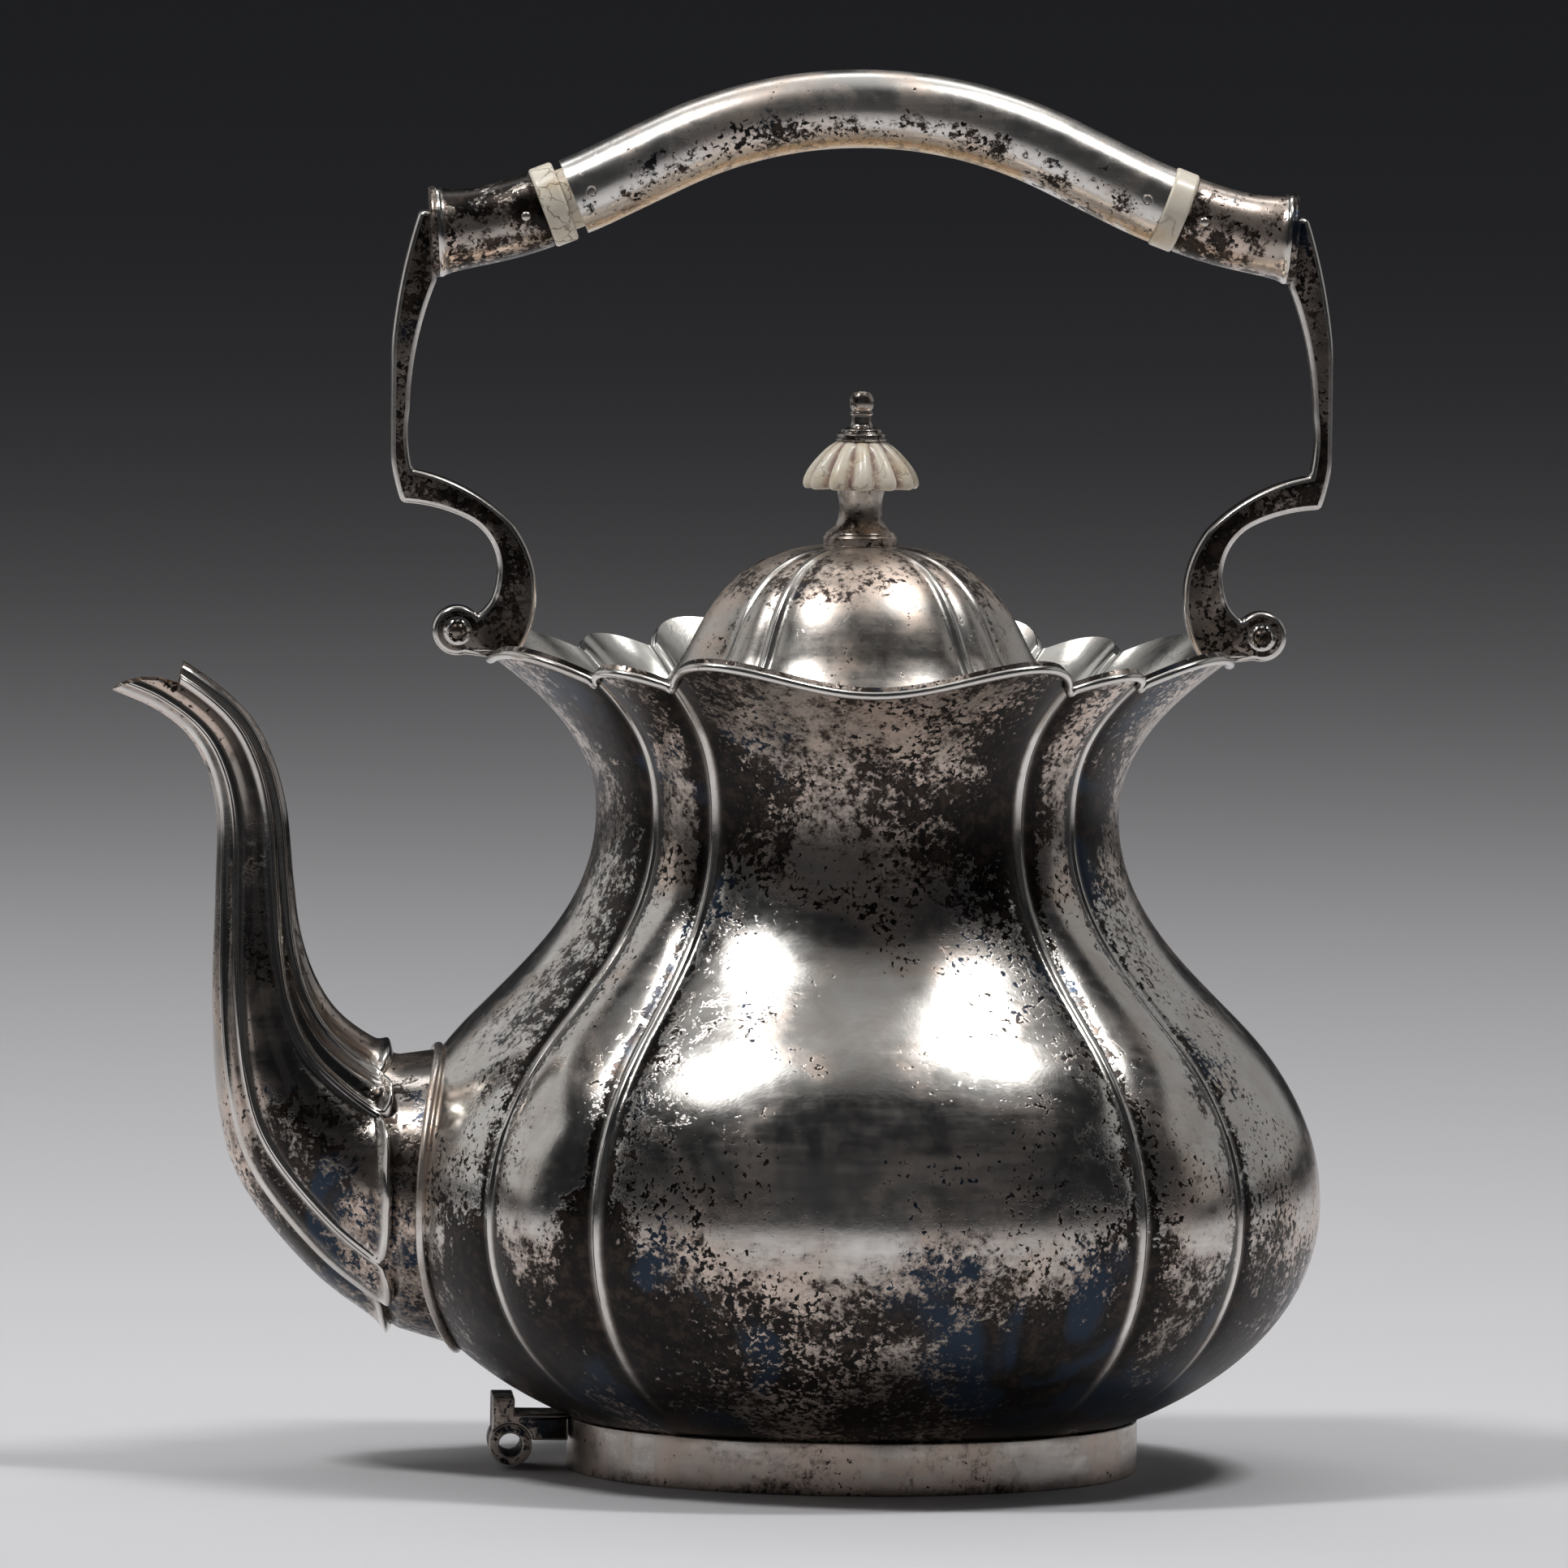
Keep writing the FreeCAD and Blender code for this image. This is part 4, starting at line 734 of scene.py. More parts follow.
# The lid's dome starts at its waist and ends under the knob, round the stud
lidWaist, lidTop, studRadius = 163.5, 183.5, 1.6
lidKnots = [
    (42.5, 150.8, (-0.75, 1), 0, 5.0),
    (33.6, lidWaist, (-0.5, 1), 4.0, 8.0),
    (7.0, lidTop, (-1, 0.06), 18.0, 1.0),
    (studRadius, 183.6, (-1, 0), 1.0, 0),
]
lidRule = {"crease": [(lidWaist, 1.0), (lidTop, 0.1)], "lobe": [(lidWaist, 1.3), (lidTop, 0.2)],
           "grooveFrom": (140.0, 150.0), "edge": None}
lidPaint = oldSilver("lidSilver", {
    "black": -0.1, "haze": -0.06, "rubFrom": "crease", "rub": 2.3, "panelFrom": "panel",
    "panelBlack": 0.012, "ditchFrom": "ditch", "ditchBlack": 0.025, "gloss": 0.25, "shift": 2.0,
    "veil": 0.6, "smoke": 0.24, "ageDepth": 0.7, "crumbScale": 420,
    "zones": [(172, 190, 0.04, 0.25)]})
lidProfile = profileCurve("lidProfile", lidKnots)
helper = grown("lid", lobedTree("lobedLid", lidRule), {
    "Profile": lidProfile, "Wide Columns": 34, "Narrow Columns": 18, "Rows": 120,
    "Lobe Half Angle": 9.0, "Groove Depth": 0.0011, "Groove Width": 0.0017,
    "Rib Height": 0.0015, "Rib Width": 0.0008, "Waviness": 0.0007, "Wave Seed": 9.0,
    "Material": lidPaint})
addWall(helper, 0.9)
lid = soften(settled(helper, "lidDome"), 50)
bpy.data.objects.remove(lidProfile)
print("lid", len(lid.data.polygons))

# Spout: stations give the upper edge, the lower edge and half the width
spoutStations = np.array([
    (-2.2, 29.0, -2.2, -27.6, 33.0), (1.5, 30.3, 14.4, -15.4, 26.0),
    (9.3, 35.8, 28.4, 1.5, 20.5), (14.1, 42.6, 33.4, 17.0, 16.3),
    (17.2, 51.4, 34.9, 38.0, 11.5), (18.8, 62.5, 34.6, 58.0, 8.6),
    (20.4, 77.0, 34.4, 74.0, 7.4), (24.0, 88.7, 36.4, 84.0, 6.9),
    (29.9, 97.3, 40.4, 91.0, 6.4), (41.3, 105.8, 46.9, 96.0, 6.2),
    (50.6, 109.4, 55.1, 99.6, 5.6)])


# Curve through the stations, with slopes from the neighbours on either side
def throughRows(rows, place):
    last = len(rows) - 1
    number = min(int(place), last - 1)
    share = place - number
    here, ahead = rows[number], rows[number + 1]
    leaving = (ahead - rows[number - 1]) / 2 if number else ahead - here
    arriving = (rows[number + 2] - here) / 2 if number + 2 <= last else ahead - here
    return ((2 * share ** 3 - 3 * share ** 2 + 1) * here
            + (share ** 3 - 2 * share ** 2 + share) * leaving
            + (3 * share ** 2 - 2 * share ** 3) * ahead + (share ** 3 - share ** 2) * arriving)


# Angle, share across its flute, reach, half angle and kind of each column round a fluted section
def fluteColumns(look):
    columns = []
    low = 1 - look["crease"]
    for quarter in range(4):
        for narrow, count in ((False, look["wideColumns"]), (True, look["narrowColumns"])):
            half = math.radians(look["lobeHalf"] if narrow else 45 - look["lobeHalf"])
            middle = math.radians(90 * quarter + (45 if narrow else 0))
            peak = low + look["lobe"] if narrow else 1.0
            offset = (peak ** 2 - low ** 2) / (2 * (peak - low * math.cos(half)))
            for number in range(count):
                across = 2 * number / count - 1
                share = 1.5 * across - 0.5 * across ** 3
                swing = half * share
                reach = offset * math.cos(swing) + math.sqrt(
                    (peak - offset) ** 2 - (offset * math.sin(swing)) ** 2)
                columns.append((middle + swing, share, reach, half, narrow))
    return columns


# How far a flute's end runs out over the sleeve: one arch, or a brace on the two sides
def petalEnd(share, brace, look):
    side = abs(share)
    if not brace:
        return look["petalReach"] * math.sqrt(max(0.0, 1 - side ** 2))
    arch = math.sqrt(max(0.0, 1 - (2 * side - 1) ** 2))
    point = look["petalPoint"] * math.exp(-side * look["pointFade"])
    return look["petalReach"] * arch * look["braceShare"] + point


stationPlaces = np.linspace(0, len(spoutStations) - 1, 2001)
stationTable = np.array([throughRows(spoutStations, place) for place in stationPlaces]).T


# Points of the plain spout, without its flutes' relief, and the way out of the surface there
def spoutSurface(place, angle, reach):
    upOut, upHigh, lowOut, lowHigh, halfWidth = [
        np.interp(place, stationPlaces, values) for values in stationTable]
    alongX, alongZ = (lowOut - upOut) / 2, (upHigh - lowHigh) / 2
    halfUp = np.hypot(alongX, alongZ)
    cosine, sine = np.cos(angle), np.sin(angle)
    points = np.stack([-bellyRadius - (upOut + lowOut) / 2 + alongX * reach * cosine,
                       halfWidth * reach * sine,
                       bellyHeight + (upHigh + lowHigh) / 2 + alongZ * reach * cosine], axis=-1)
    outward = np.stack([alongX * halfWidth * cosine / halfUp, halfUp * sine,
                        alongZ * halfWidth * cosine / halfUp], axis=-1)
    outward /= np.linalg.norm(outward, axis=-1)[..., None]
    return points, outward, halfUp * np.abs(cosine) + halfWidth * np.abs(sine)


# Place along the spout at which a column reaches a given x
def placeAt(x, angle, reach):
    rooted = stationPlaces[stationPlaces < 2]
    xs = spoutSurface(rooted, angle, reach)[0][:, 0]
    return np.interp(-x, -xs, rooted)


# Points of the fluted spout and how far each stands on a rib; rows lie close at the sleeve's end
def spoutRows(look):
    columns = fluteColumns(look)
    angle, share, reach, half = np.array([column[:4] for column in columns]).T
    starts = []
    for turn, across, size, unused, narrow in columns:
        brace = not narrow and abs(math.sin(turn)) > 0.7
        starts.append(placeAt(look["end"] + petalEnd(across, brace, look), turn, size))
    starts = np.array(starts)
    close = np.linspace(0, 1, look["endRows"]) ** 1.5 * look["endShare"]
    steps = np.concatenate([close, np.linspace(look["endShare"], 1, look["rows"])[1:]])
    places = starts + np.outer(steps, stationPlaces[-1] - starts)
    drawn = np.clip((places - look["drawFrom"]) / look["drawOver"], 0, 1)
    turned = angle + math.radians(look["draw"]) * drawn * np.sin(2 * angle)
    plain, outward, sizes = spoutSurface(places, turned, reach)
    lengths = np.linalg.norm(np.diff(plain, axis=0), axis=2)
    fromEnd = np.concatenate([np.zeros((1, len(angle))), np.cumsum(lengths, axis=0)])
    gap = half * (1 - np.abs(share)) * sizes
    fine = np.minimum(1.0, sizes / look["fullSize"])
    near = np.clip(1 - fromEnd / look["endLength"], 0, 1)
    # A raised border runs along each crease and round the flute's end, and dips to the sleeve
    border = np.exp(-((fromEnd - look["ribWidth"]) / look["ribWidth"]) ** 2)
    rib = np.maximum(np.exp(-(gap / (look["ribWidth"] * fine)) ** 2), border * look["border"])
    lip = np.clip(1 - fromEnd / look["ribWidth"], 0, 1) ** 2
    ditch = np.exp(-gap / (look["grooveWidth"] * fine))
    grow = fine * (look["rib"] * rib - look["groove"] * ditch)
    grow += look["petalRise"] * near ** 2 - look["lipFall"] * lip
    return plain + outward * grow[:, :, None], rib


spoutLook = {"lobeHalf": 12.0, "crease": 0.05, "lobe": 0.06, "groove": 1.15, "grooveWidth": 2.6,
             "rib": 1.95, "ribWidth": 1.5, "border": 0.6, "petalRise": 0.35, "petalReach": 2.6,
             "petalPoint": 1.9, "pointFade": 8, "braceShare": 0.7, "end": -94.0,
             "endLength": 8.0, "lipFall": 1.9, "fullSize": 9.5, "draw": 6.6, "drawFrom": 0.4,
             "drawOver": 3.0, "wideColumns": 30, "narrowColumns": 14, "endRows": 80,
             "endShare": 0.12, "rows": 150}
spoutPoints, spoutRibs = spoutRows(spoutLook)
helper = skinned("spoutSeed", spoutPoints)
storeValues(helper, "rub", spoutRibs.ravel())
addWall(helper, 0.9)
# The mouth is cut along this line, seen from the side
mouthEdge = [(-122.7, 220.9), (-134.6, 154.9), (-138.5, 155.9), (-142.0, 156.0), (-145.5, 155.1),
             (-147.6, 154.0), (-149.5, 152.4), (-200.0, 148.0), (-200.0, 220.9)]
mouthHalf = 33.0
prismRows = [[[x, y, z] for x, z in mouthEdge] for y in (-mouthHalf, mouthHalf)]
prism = skinned("mouthSpace", prismRows, capped=True)
cutter = helper.modifiers.new("mouth", "BOOLEAN")
cutter.operation = "DIFFERENCE"
cutter.object = prism
cutter.solver = "MANIFOLD"
spoutPaint = oldSilver("spoutSilver", {
    "black": -0.075, "haze": -0.02, "rubFrom": "rub", "rub": 2.5, "patchScale": 34, "blue": 0.05,
    "gloss": 0.11, "shift": 4.0, "veil": 0.5, "age": 0.03, "smoke": 0.62,
    "zones": [(15, 66, 0.075, 0.18), (140, 180, 0.0, 0.3)]})
spout = painted(soften(settled(helper, "spout"), 45), spoutPaint)
bpy.data.objects.remove(prism)

# Sleeve between the flutes and the vessel, and the bead where they meet
vesselMesh = bmesh.new()
vesselMesh.from_mesh(vessel.data)
vesselTree = BVHTree.FromBMesh(vesselMesh)
sleeve = {"halfUp": 28.3, "halfWidth": 33.0, "height": 54.7, "start": -97.0, "low": 0.955,
          "flare": 2.6, "columns": 192, "rows": 26, "sunk": 0.6}
beadSize = {"radius": 1.05, "back": 0.55, "spread": 1.006}
turns = np.arange(sleeve["columns"]) * 2 * math.pi / sleeve["columns"]
hits = []
for turn in turns:
    y = sleeve["halfWidth"] * math.sin(turn)
    z = (sleeve["height"] + sleeve["halfUp"] * math.cos(turn)
         - sleeve["flare"] * max(0.0, -math.cos(turn)) ** 2)
    spot = vesselTree.ray_cast(Vector((-0.2, y * mm, z * mm)), Vector((1, 0, 0)))[0]
    hits.append((spot.x / mm, y, z))
vesselMesh.free()
spoutRoot = spoutSurface(0.0, 0.0, 1.0)[0][0]
sleeveRows = []
for share in np.linspace(0, 1, sleeve["rows"]):
    row = []
    for turn, (hitX, hitY, hitZ) in zip(turns, hits):
        endX = hitX + sleeve["sunk"]
        x = sleeve["start"] + (endX - sleeve["start"]) * share
        if x < spoutRoot:
            point = spoutSurface(placeAt(x, turn, sleeve["low"]), turn, sleeve["low"])[0]
        else:
            rise = (x - spoutRoot) / (endX - spoutRoot)
            reach = sleeve["low"] + (1 - sleeve["low"]) * rise
            rootZ = sleeve["height"] + sleeve["halfUp"] * math.cos(turn)
            endZ = rootZ + (hitZ - rootZ) * rise
            point = (x, hitY * reach, sleeve["height"] + (endZ - sleeve["height"]) * reach)
        row.append(tuple(point))
    sleeveRows.append(row)
helper = skinned("collarSeed", sleeveRows)
addWall(helper, 0.8)
collar = painted(storeRub(soften(settled(helper, "spoutCollar"), 45), 40), spoutPaint)
beadLine = [(x - beadSize["back"], y * beadSize["spread"],
             (z - sleeve["height"]) * beadSize["spread"] + sleeve["height"]) for x, y, z in hits]
beadPath = pathCurve("beadPath", beadLine, True)
alongPath = pathTree()
beadPaint = oldSilver("beadSilver", {"black": -0.12, "haze": 0.05, "gloss": 0.2, "shift": 1.0})
bead = finished("spoutBead", alongPath, {
    "Path": beadPath, "Wire Radius": beadSize["radius"] * mm, "Sides": 12, "Filled": False,
    "Material": beadPaint}, 0, beadPath)
print("spout", len(spout.data.polygons))

# Foot: plain band with a lap seam at the front and small dents
footSize = {"outside": 57.0, "inside": 55.4, "seam": -math.pi / 2 + 0.03, "lap": 0.5,
            "lapFade": 0.9, "dents": (0.16, 0.10, 0.07), "inset": 0.45, "insideShare": 0.6}


def footShape(reach, height, turn):
    past = (turn - footSize["seam"]) % (2 * math.pi)
    lap = footSize["lap"] * np.exp(-past / footSize["lapFade"])
    wide, middling, small = footSize["dents"]
    dents = (wide * np.sin(3 * turn + 0.7) + middling * np.sin(7 * turn + height * 0.1)
             + small * np.sin(17 * turn + 2.0) * math.sin(height * 0.4))
    outside = reach[0] > (footSize["inside"] + footSize["outside"]) / 2
    return reach + (lap + dents - footSize["inset"]) * (1 if outside else footSize["insideShare"])


footCorners = [
    (footSize["inside"], 0.0, 0.3), (footSize["outside"], 0.0, 0.6),
    (footSize["outside"], footHeight, 0.35), (footSize["inside"], footHeight, 0.3)]
footPaint = oldSilver("footSilver", {
    "black": -0.115, "haze": 0.04, "rubFrom": "rub", "gloss": 0.22, "shift": 6.0, "veil": 0.5,
    "smoke": 0.3, "age": 0.03, "ageDepth": 0.7, "relief": 0.14, "zones": [(-3, 2, 0.05, 0.1)]})
foot = turnedPiece("footRing", footCorners, footPaint, limit=1.2, columns=420, sharp=50, rub=50,
                   shape=footShape)

# Knob: silver stem, fluted ivory cap, silver finial
capFoot, capTop = 194.75, 204.1
stemCorners = [
    (studRadius, lidTop, 0), (7.3, lidTop, 0.2), (7.3, 185.2, 0.25), (6.9, 185.5, 0.15),
    (6.8, 186.0, 0.3), (4.9, 187.4, 1.4), (4.05, 190.4, 1.6), (4.35, 192.6, 0.6),
    (4.8, 194.7, 0.15), (studRadius, 194.7, 0)]
stemPaint = oldSilver("knobSilver", {
    "black": -0.04, "haze": 0.2, "rubFrom": "rub", "gloss": 0.22, "patchScale": 90, "shift": 8.0,
    "veil": 0.7, "smoke": 0.3, "age": 0.03})
stem = turnedPiece("knobStem", stemCorners, stemPaint, limit=0.5, columns=80, sharp=40, rub=45)
finialCorners = [
    (studRadius, capTop, 0), (5.0, capTop, 0.5), (5.0, 205.6, 0.5), (4.1, 205.9, 0.2),
    (3.9, 206.5, 0.25), (2.9, 206.8, 0.4), (2.05, 207.4, 0.4), (2.0, 209.3, 0.1),
    (2.3, 209.45, 0.1), (2.3, 209.9, 0.1), (1.9, 210.1, 0.1), (2.4, 211.0, 0.5),
    (2.45, 212.7, 0.9), (1.5, 214.0, 0.6), (0.02, 214.2, 0)]
finialPaint = oldSilver("finialSilver", {
    "black": -0.04, "haze": 0.0, "rubFrom": "rub", "gloss": 0.15, "patchScale": 110,
    "crumbScale": 600, "shift": 9.0, "veil": 0.5, "smoke": 0.6,
    "zones": [(203, 207, 0.07, 0.1)]})
finial = turnedPiece("knobFinial", finialCorners, finialPaint, limit=0.35, columns=64, sharp=40,
                     rub=45)
print("foot, stem and finial")


ivoryTones = {
    "cream": (0.86, 0.79, 0.66, 1),
    "yellow": (0.74, 0.60, 0.41, 1),
    "light": (0.87, 0.80, 0.66, 1),
    "crack": (0.20, 0.12, 0.07, 1),
    "residue": (0.34, 0.20, 0.185, 1),
}


# Ivory with fine cracks and yellow stains; residue gathers where an attribute says
def oldIvory(name, look):
    paint = Paint(name)
    stain = paint.mottle(130, 5, 0.6, 0.5, look["shift"])
    cloud = paint.mottle(420, 4, 0.6, 0.2, look["shift"] + 4)
    wander = paint.wire.node("ShaderNodeVectorMath", {
        0: paint.mottle(300, 3, 0.6, 0.0, 2.0).out("Color"), "Scale": 0.004}, operation="SCALE")
    bent = paint.wire.node("ShaderNodeVectorMath", {0: paint.place, 1: wander}, operation="ADD")
    crack = paint.wire.node("ShaderNodeTexVoronoi", {
        "Vector": bent, "Scale": look["crackScale"]}, feature="DISTANCE_TO_EDGE")
    crack = (1 - crack.step(0.0, 0.05)) * paint.mottle(160, 2, 0.5, 0, 8.0).step(
        look["crackFrom"], look["crackFrom"] + 0.12)
    base = stain.step(0.45, 0.75).tint(ivoryTones["cream"], ivoryTones["yellow"])
    base = (cloud.step(0.5, 0.75) * 0.5).tint(base, ivoryTones["light"])
    tone = (crack * look["crackDepth"]).tint(base, ivoryTones["crack"])
    if look.get("residueFrom"):
        dirt = paint.attribute(look["residueFrom"])
        dirt = (dirt.step(0.3, 0.8) * cloud.step(0.3, 0.6) * 0.85).held()
        tone = dirt.tint(tone, ivoryTones["residue"])
    rough = 0.26 + stain * 0.15 + crack * 0.3
    return paint.join(Base_Color=tone, Roughness=rough.held(0.1, 0.9),
                      Coat_Weight=(cloud * 0.3).held(),
                      Normal=paint.bump(cloud * 0.3 - crack, 0.35, 0.0003))


# Cap: convex petals between narrow grooves that run together at the top
def capTree():
    wire, given = startTree("flutedCap", {
        "Flutes": "Int", "Columns": "Int", "Rows": "Int", "Outline": "Object",
        "Flute Depth": "Float", "Full Radius": "Float", "Groove Lift": "Float"})
    grid, sideways, row = flatGrid(wire, given["Columns"], given["Rows"])
    turn = sideways * (2 * math.pi)
    wave = 1 - (turn * given["Flutes"] * 0.5).calc("COSINE").calc("ABSOLUTE")
    radius, unused, height = pointAlong(wire, shapeOf(wire, given["Outline"]), row).axes()
    taper = (radius / given["Full Radius"]).held().step(0.25, 0.95)
    inside = radius - wave * given["Flute Depth"] * taper
    lift = wave * (1 - row.step(0.3, 0.5)) * taper * given["Groove Lift"]
    shut = bentSheet(wire, stored(wire, grid, "groove", wave),
                     roundPoint(wire, inside, turn, height + lift))
    return endTree(wire, shut, given)


capOutline = profileCurve("capOutline", [
    (studRadius, capFoot, (1, 0), 0, 2.5), (10.6, capFoot, (1, 0), 2.5, 0.5),
    (11.5, 195.7, (0.05, 1), 0.5, 0.9), (10.2, 199.0, (-0.7, 1), 1.2, 1.2),
    (7.4, 202.2, (-1, 0.95), 1.4, 1.2), (4.7, capTop, (-1, 0.5), 1.1, 1.0),
    (studRadius, capTop, (-1, 0), 1.0, 0)])
capPaint = oldIvory("capIvory", {
    "shift": 1.0, "crackScale": 260, "crackDepth": 0.35, "crackFrom": 0.5,
    "residueFrom": "groove"})
cap = finished("knobCap", capTree(), {
    "Flutes": 12, "Columns": 288, "Rows": 110, "Outline": capOutline, "Flute Depth": 0.0021,
    "Full Radius": 0.0117, "Groove Lift": 0.0007, "Material": capPaint}, 60, capOutline)
closeUp(cap)
print("cap", len(cap.data.polygons))

# Handle axis: arched crown, straight legs, then a sweep back out to the sockets
handle = {"crownHeight": 269.9, "archRadius": 88.0, "leg": math.radians(26.0), "sweepStart": 52.4,
          "sweepRadius": 87.0, "ringAt": 59.1, "ringWidth": 4.9, "leftGap": 1.8,
          "socketEnd": 84.4, "endSlope": math.radians(4.0), "gripRadius": 7.75}


def archPoint(slope):
    drop = handle["archRadius"] * (math.cos(slope) - 1)
    return np.array([handle["archRadius"] * math.sin(slope), handle["crownHeight"] + drop])


def arcPoint(centre, slope, radius):
    return centre - np.array([math.sin(slope), math.cos(slope)]) * radius


leg, sweepRadius, endSlope = handle["leg"], handle["sweepRadius"], handle["endSlope"]
archEnd = archPoint(leg)
legEnd = archEnd + np.array([1, -math.tan(leg)]) * (handle["sweepStart"] - archEnd[0])
sweepCentre = legEnd + np.array([math.sin(leg), math.cos(leg)]) * sweepRadius


def sweepSlope(x):
    return math.asin((sweepCentre[0] - x) / sweepRadius)


ringSlope = sweepSlope(handle["ringAt"])
ringAlong = np.array([math.cos(ringSlope), -math.sin(ringSlope)])
ringOuter = arcPoint(sweepCentre, ringSlope, sweepRadius) + ringAlong * handle["ringWidth"]
socketRadius = (handle["socketEnd"] - ringOuter[0]) / (math.sin(ringSlope) - math.sin(endSlope))
socketCentre = ringOuter + np.array([math.sin(ringSlope), math.cos(ringSlope)]) * socketRadius


# Half of the grip's axis, from the crown to its end at the ring; the gap draws it back
def gripSide(gap):
    end = sweepSlope(handle["ringAt"] - gap * math.cos(ringSlope))
    arch = [archPoint(slope) for slope in np.linspace(0, leg, 40)]
    straight = [archEnd + (legEnd - archEnd) * share for share in np.linspace(0, 1, 18)[1:]]
    sweep = [arcPoint(sweepCentre, slope, sweepRadius) for slope in np.linspace(leg, end, 14)[1:]]
    return arch + straight + sweep


gripLine = ([(-x, 0, z) for x, z in reversed(gripSide(handle["leftGap"]))]
            + [(x, 0, z) for x, z in gripSide(0.0)[1:]])
gripPath = pathCurve("gripPath", gripLine, False)
gripPaint = oldSilver("gripSilver", {
    "black": -0.14, "haze": -0.06, "gloss": 0.23, "shift": 10.0, "patchScale": 75, "veil": 0.0,
    "crumbScale": 420, "under": 0.115, "seam": True})
grip = finished("handleGrip", alongPath, {
    "Path": gripPath, "Wire Radius": handle["gripRadius"] * mm, "Sides": 72, "Filled": True,
    "Material": gripPaint}, 40, gripPath)


# Socket: tube that flares into a thin lip at its outer end; outside is (share along, radius)
socketSize = {
    "outside": [(0.0, 7.55), (0.012, 7.75), (0.2, 7.75), (0.45, 7.72), (0.65, 7.78), (0.8, 8.0),
                (0.9, 8.35), (0.945, 8.7), (0.965, 9.0), (0.985, 9.05), (1.0, 8.9)],
    "lipInside": 8.0, "wall": 0.9, "columns": 72, "rubFrom": 8.45, "rubOver": 0.4}


def socketRows(side):
    size = socketSize
    inside = [(share, radius - size["wall"]) for share, radius in reversed(size["outside"][:-2])]
    outline = refined(size["outside"] + [(1.0, size["lipInside"])] + inside[2:], 0.05)
    turn = np.arange(size["columns"]) * 2 * math.pi / size["columns"]
    rows = []
    rubs = []
    for share, radius in outline:
        rub = np.clip((radius - size["rubFrom"]) / size["rubOver"], 0, 1)
        rubs.append(np.full(len(turn), rub))
        slope = ringSlope + (endSlope - ringSlope) * share
        x, z = arcPoint(socketCentre, slope, socketRadius)
        up = np.array([math.sin(slope), 0, math.cos(slope)])
        row = np.outer(np.cos(turn), up * radius) + np.outer(np.sin(turn), [0, radius, 0])
        rows.append((row + np.array([x, 0, z])) * np.array([side, 1, 1]))
    return rows, np.concatenate(rubs)


ferruleLook = {"black": 0.03, "haze": 0.12, "rubFrom": "rub", "rub": 1.3, "gloss": 0.14,
               "shift": 12.0, "sootRough": 0.04, "patchScale": 90, "veil": 0.5, "smoke": 0.4,
               "blue": -0.05}
paleFerrule = {**ferruleLook, "black": -0.035, "shift": 15.0, "smoke": 0.15}
# Pieces that come in pairs: the piece, its slot and the node that it stands for
pairs = []
for name, node, side, look in (("ferruleLeft", "ferrule_left", -1, ferruleLook),
                               ("ferruleRight", "ferrule_right", 1, paleFerrule)):
    socketPoints, socketRubs = socketRows(side)
    ferrule = skinned(name, socketPoints, closedRows=True)
    storeValues(ferrule, "rub", socketRubs)
    painted(soften(ferrule, 40), oldSilver(name + "Silver", look))
    pairs.append((ferrule, "ferrule_silver", node))


# Swells an arm in mm along its normals, within its own width and not round its scroll's eye
def swell(body, shape):
    body.normal_update()
    widest = max(abs(corner.co.x) for corner in body.verts)
    eyeX, eyeZ = shape["eye"]
    swelled = []
    for corner in body.verts:
        fromEye = math.hypot(abs(corner.co.x) / mm - eyeX, corner.co.z / mm - eyeZ)
        share = max(0.0, min(1.0, (fromEye - shape["eyeClear"]) / shape["eyeBlend"]))
        grow = shape["fuller"] * share * min(1.5, corner.calc_shell_factor())
        swelled.append(corner.co + corner.normal * grow * mm)
    for corner, spot in zip(body.verts, swelled):
        corner.co = (max(-widest, min(widest, spot.x)), spot.y, spot.z)


# Copy of a made node with its edges rounded over; the rounding is rubbed bright
def roundedCopy(node, name, shape, paint):
    helper = linked(name + "Seed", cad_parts[node].data.copy())
    body = bmesh.new()
    body.from_mesh(helper.data)
    bmesh.ops.remove_doubles(body, verts=body.verts, dist=2e-6)
    bmesh.ops.dissolve_limit(body, angle_limit=math.radians(0.6), verts=body.verts,
                             edges=body.edges)
    bmesh.ops.recalc_face_normals(body, faces=body.faces)
    if shape.get("fuller"):
        swell(body, shape)
    body.to_mesh(helper.data)
    body.free()
    helper.data.materials.clear()
    for slot in range(2):
        helper.data.materials.append(None)
    rounding = helper.modifiers.new("rounding", "BEVEL")
    rounding.width = shape["width"] * mm
    rounding.segments = shape["steps"]
    rounding.limit_method = "ANGLE"
    rounding.angle_limit = math.radians(38)
    rounding.use_clamp_overlap = False
    rounding.material = 1
    piece = soften(settled(helper, name), 30)
    rubbed = [float(face.material_index) for face in piece.data.polygons]
    storeValues(piece, "rub", rubbed, "FACE")
    piece.data.polygons.foreach_set("material_index", [0] * len(rubbed))
    return painted(piece, paint)


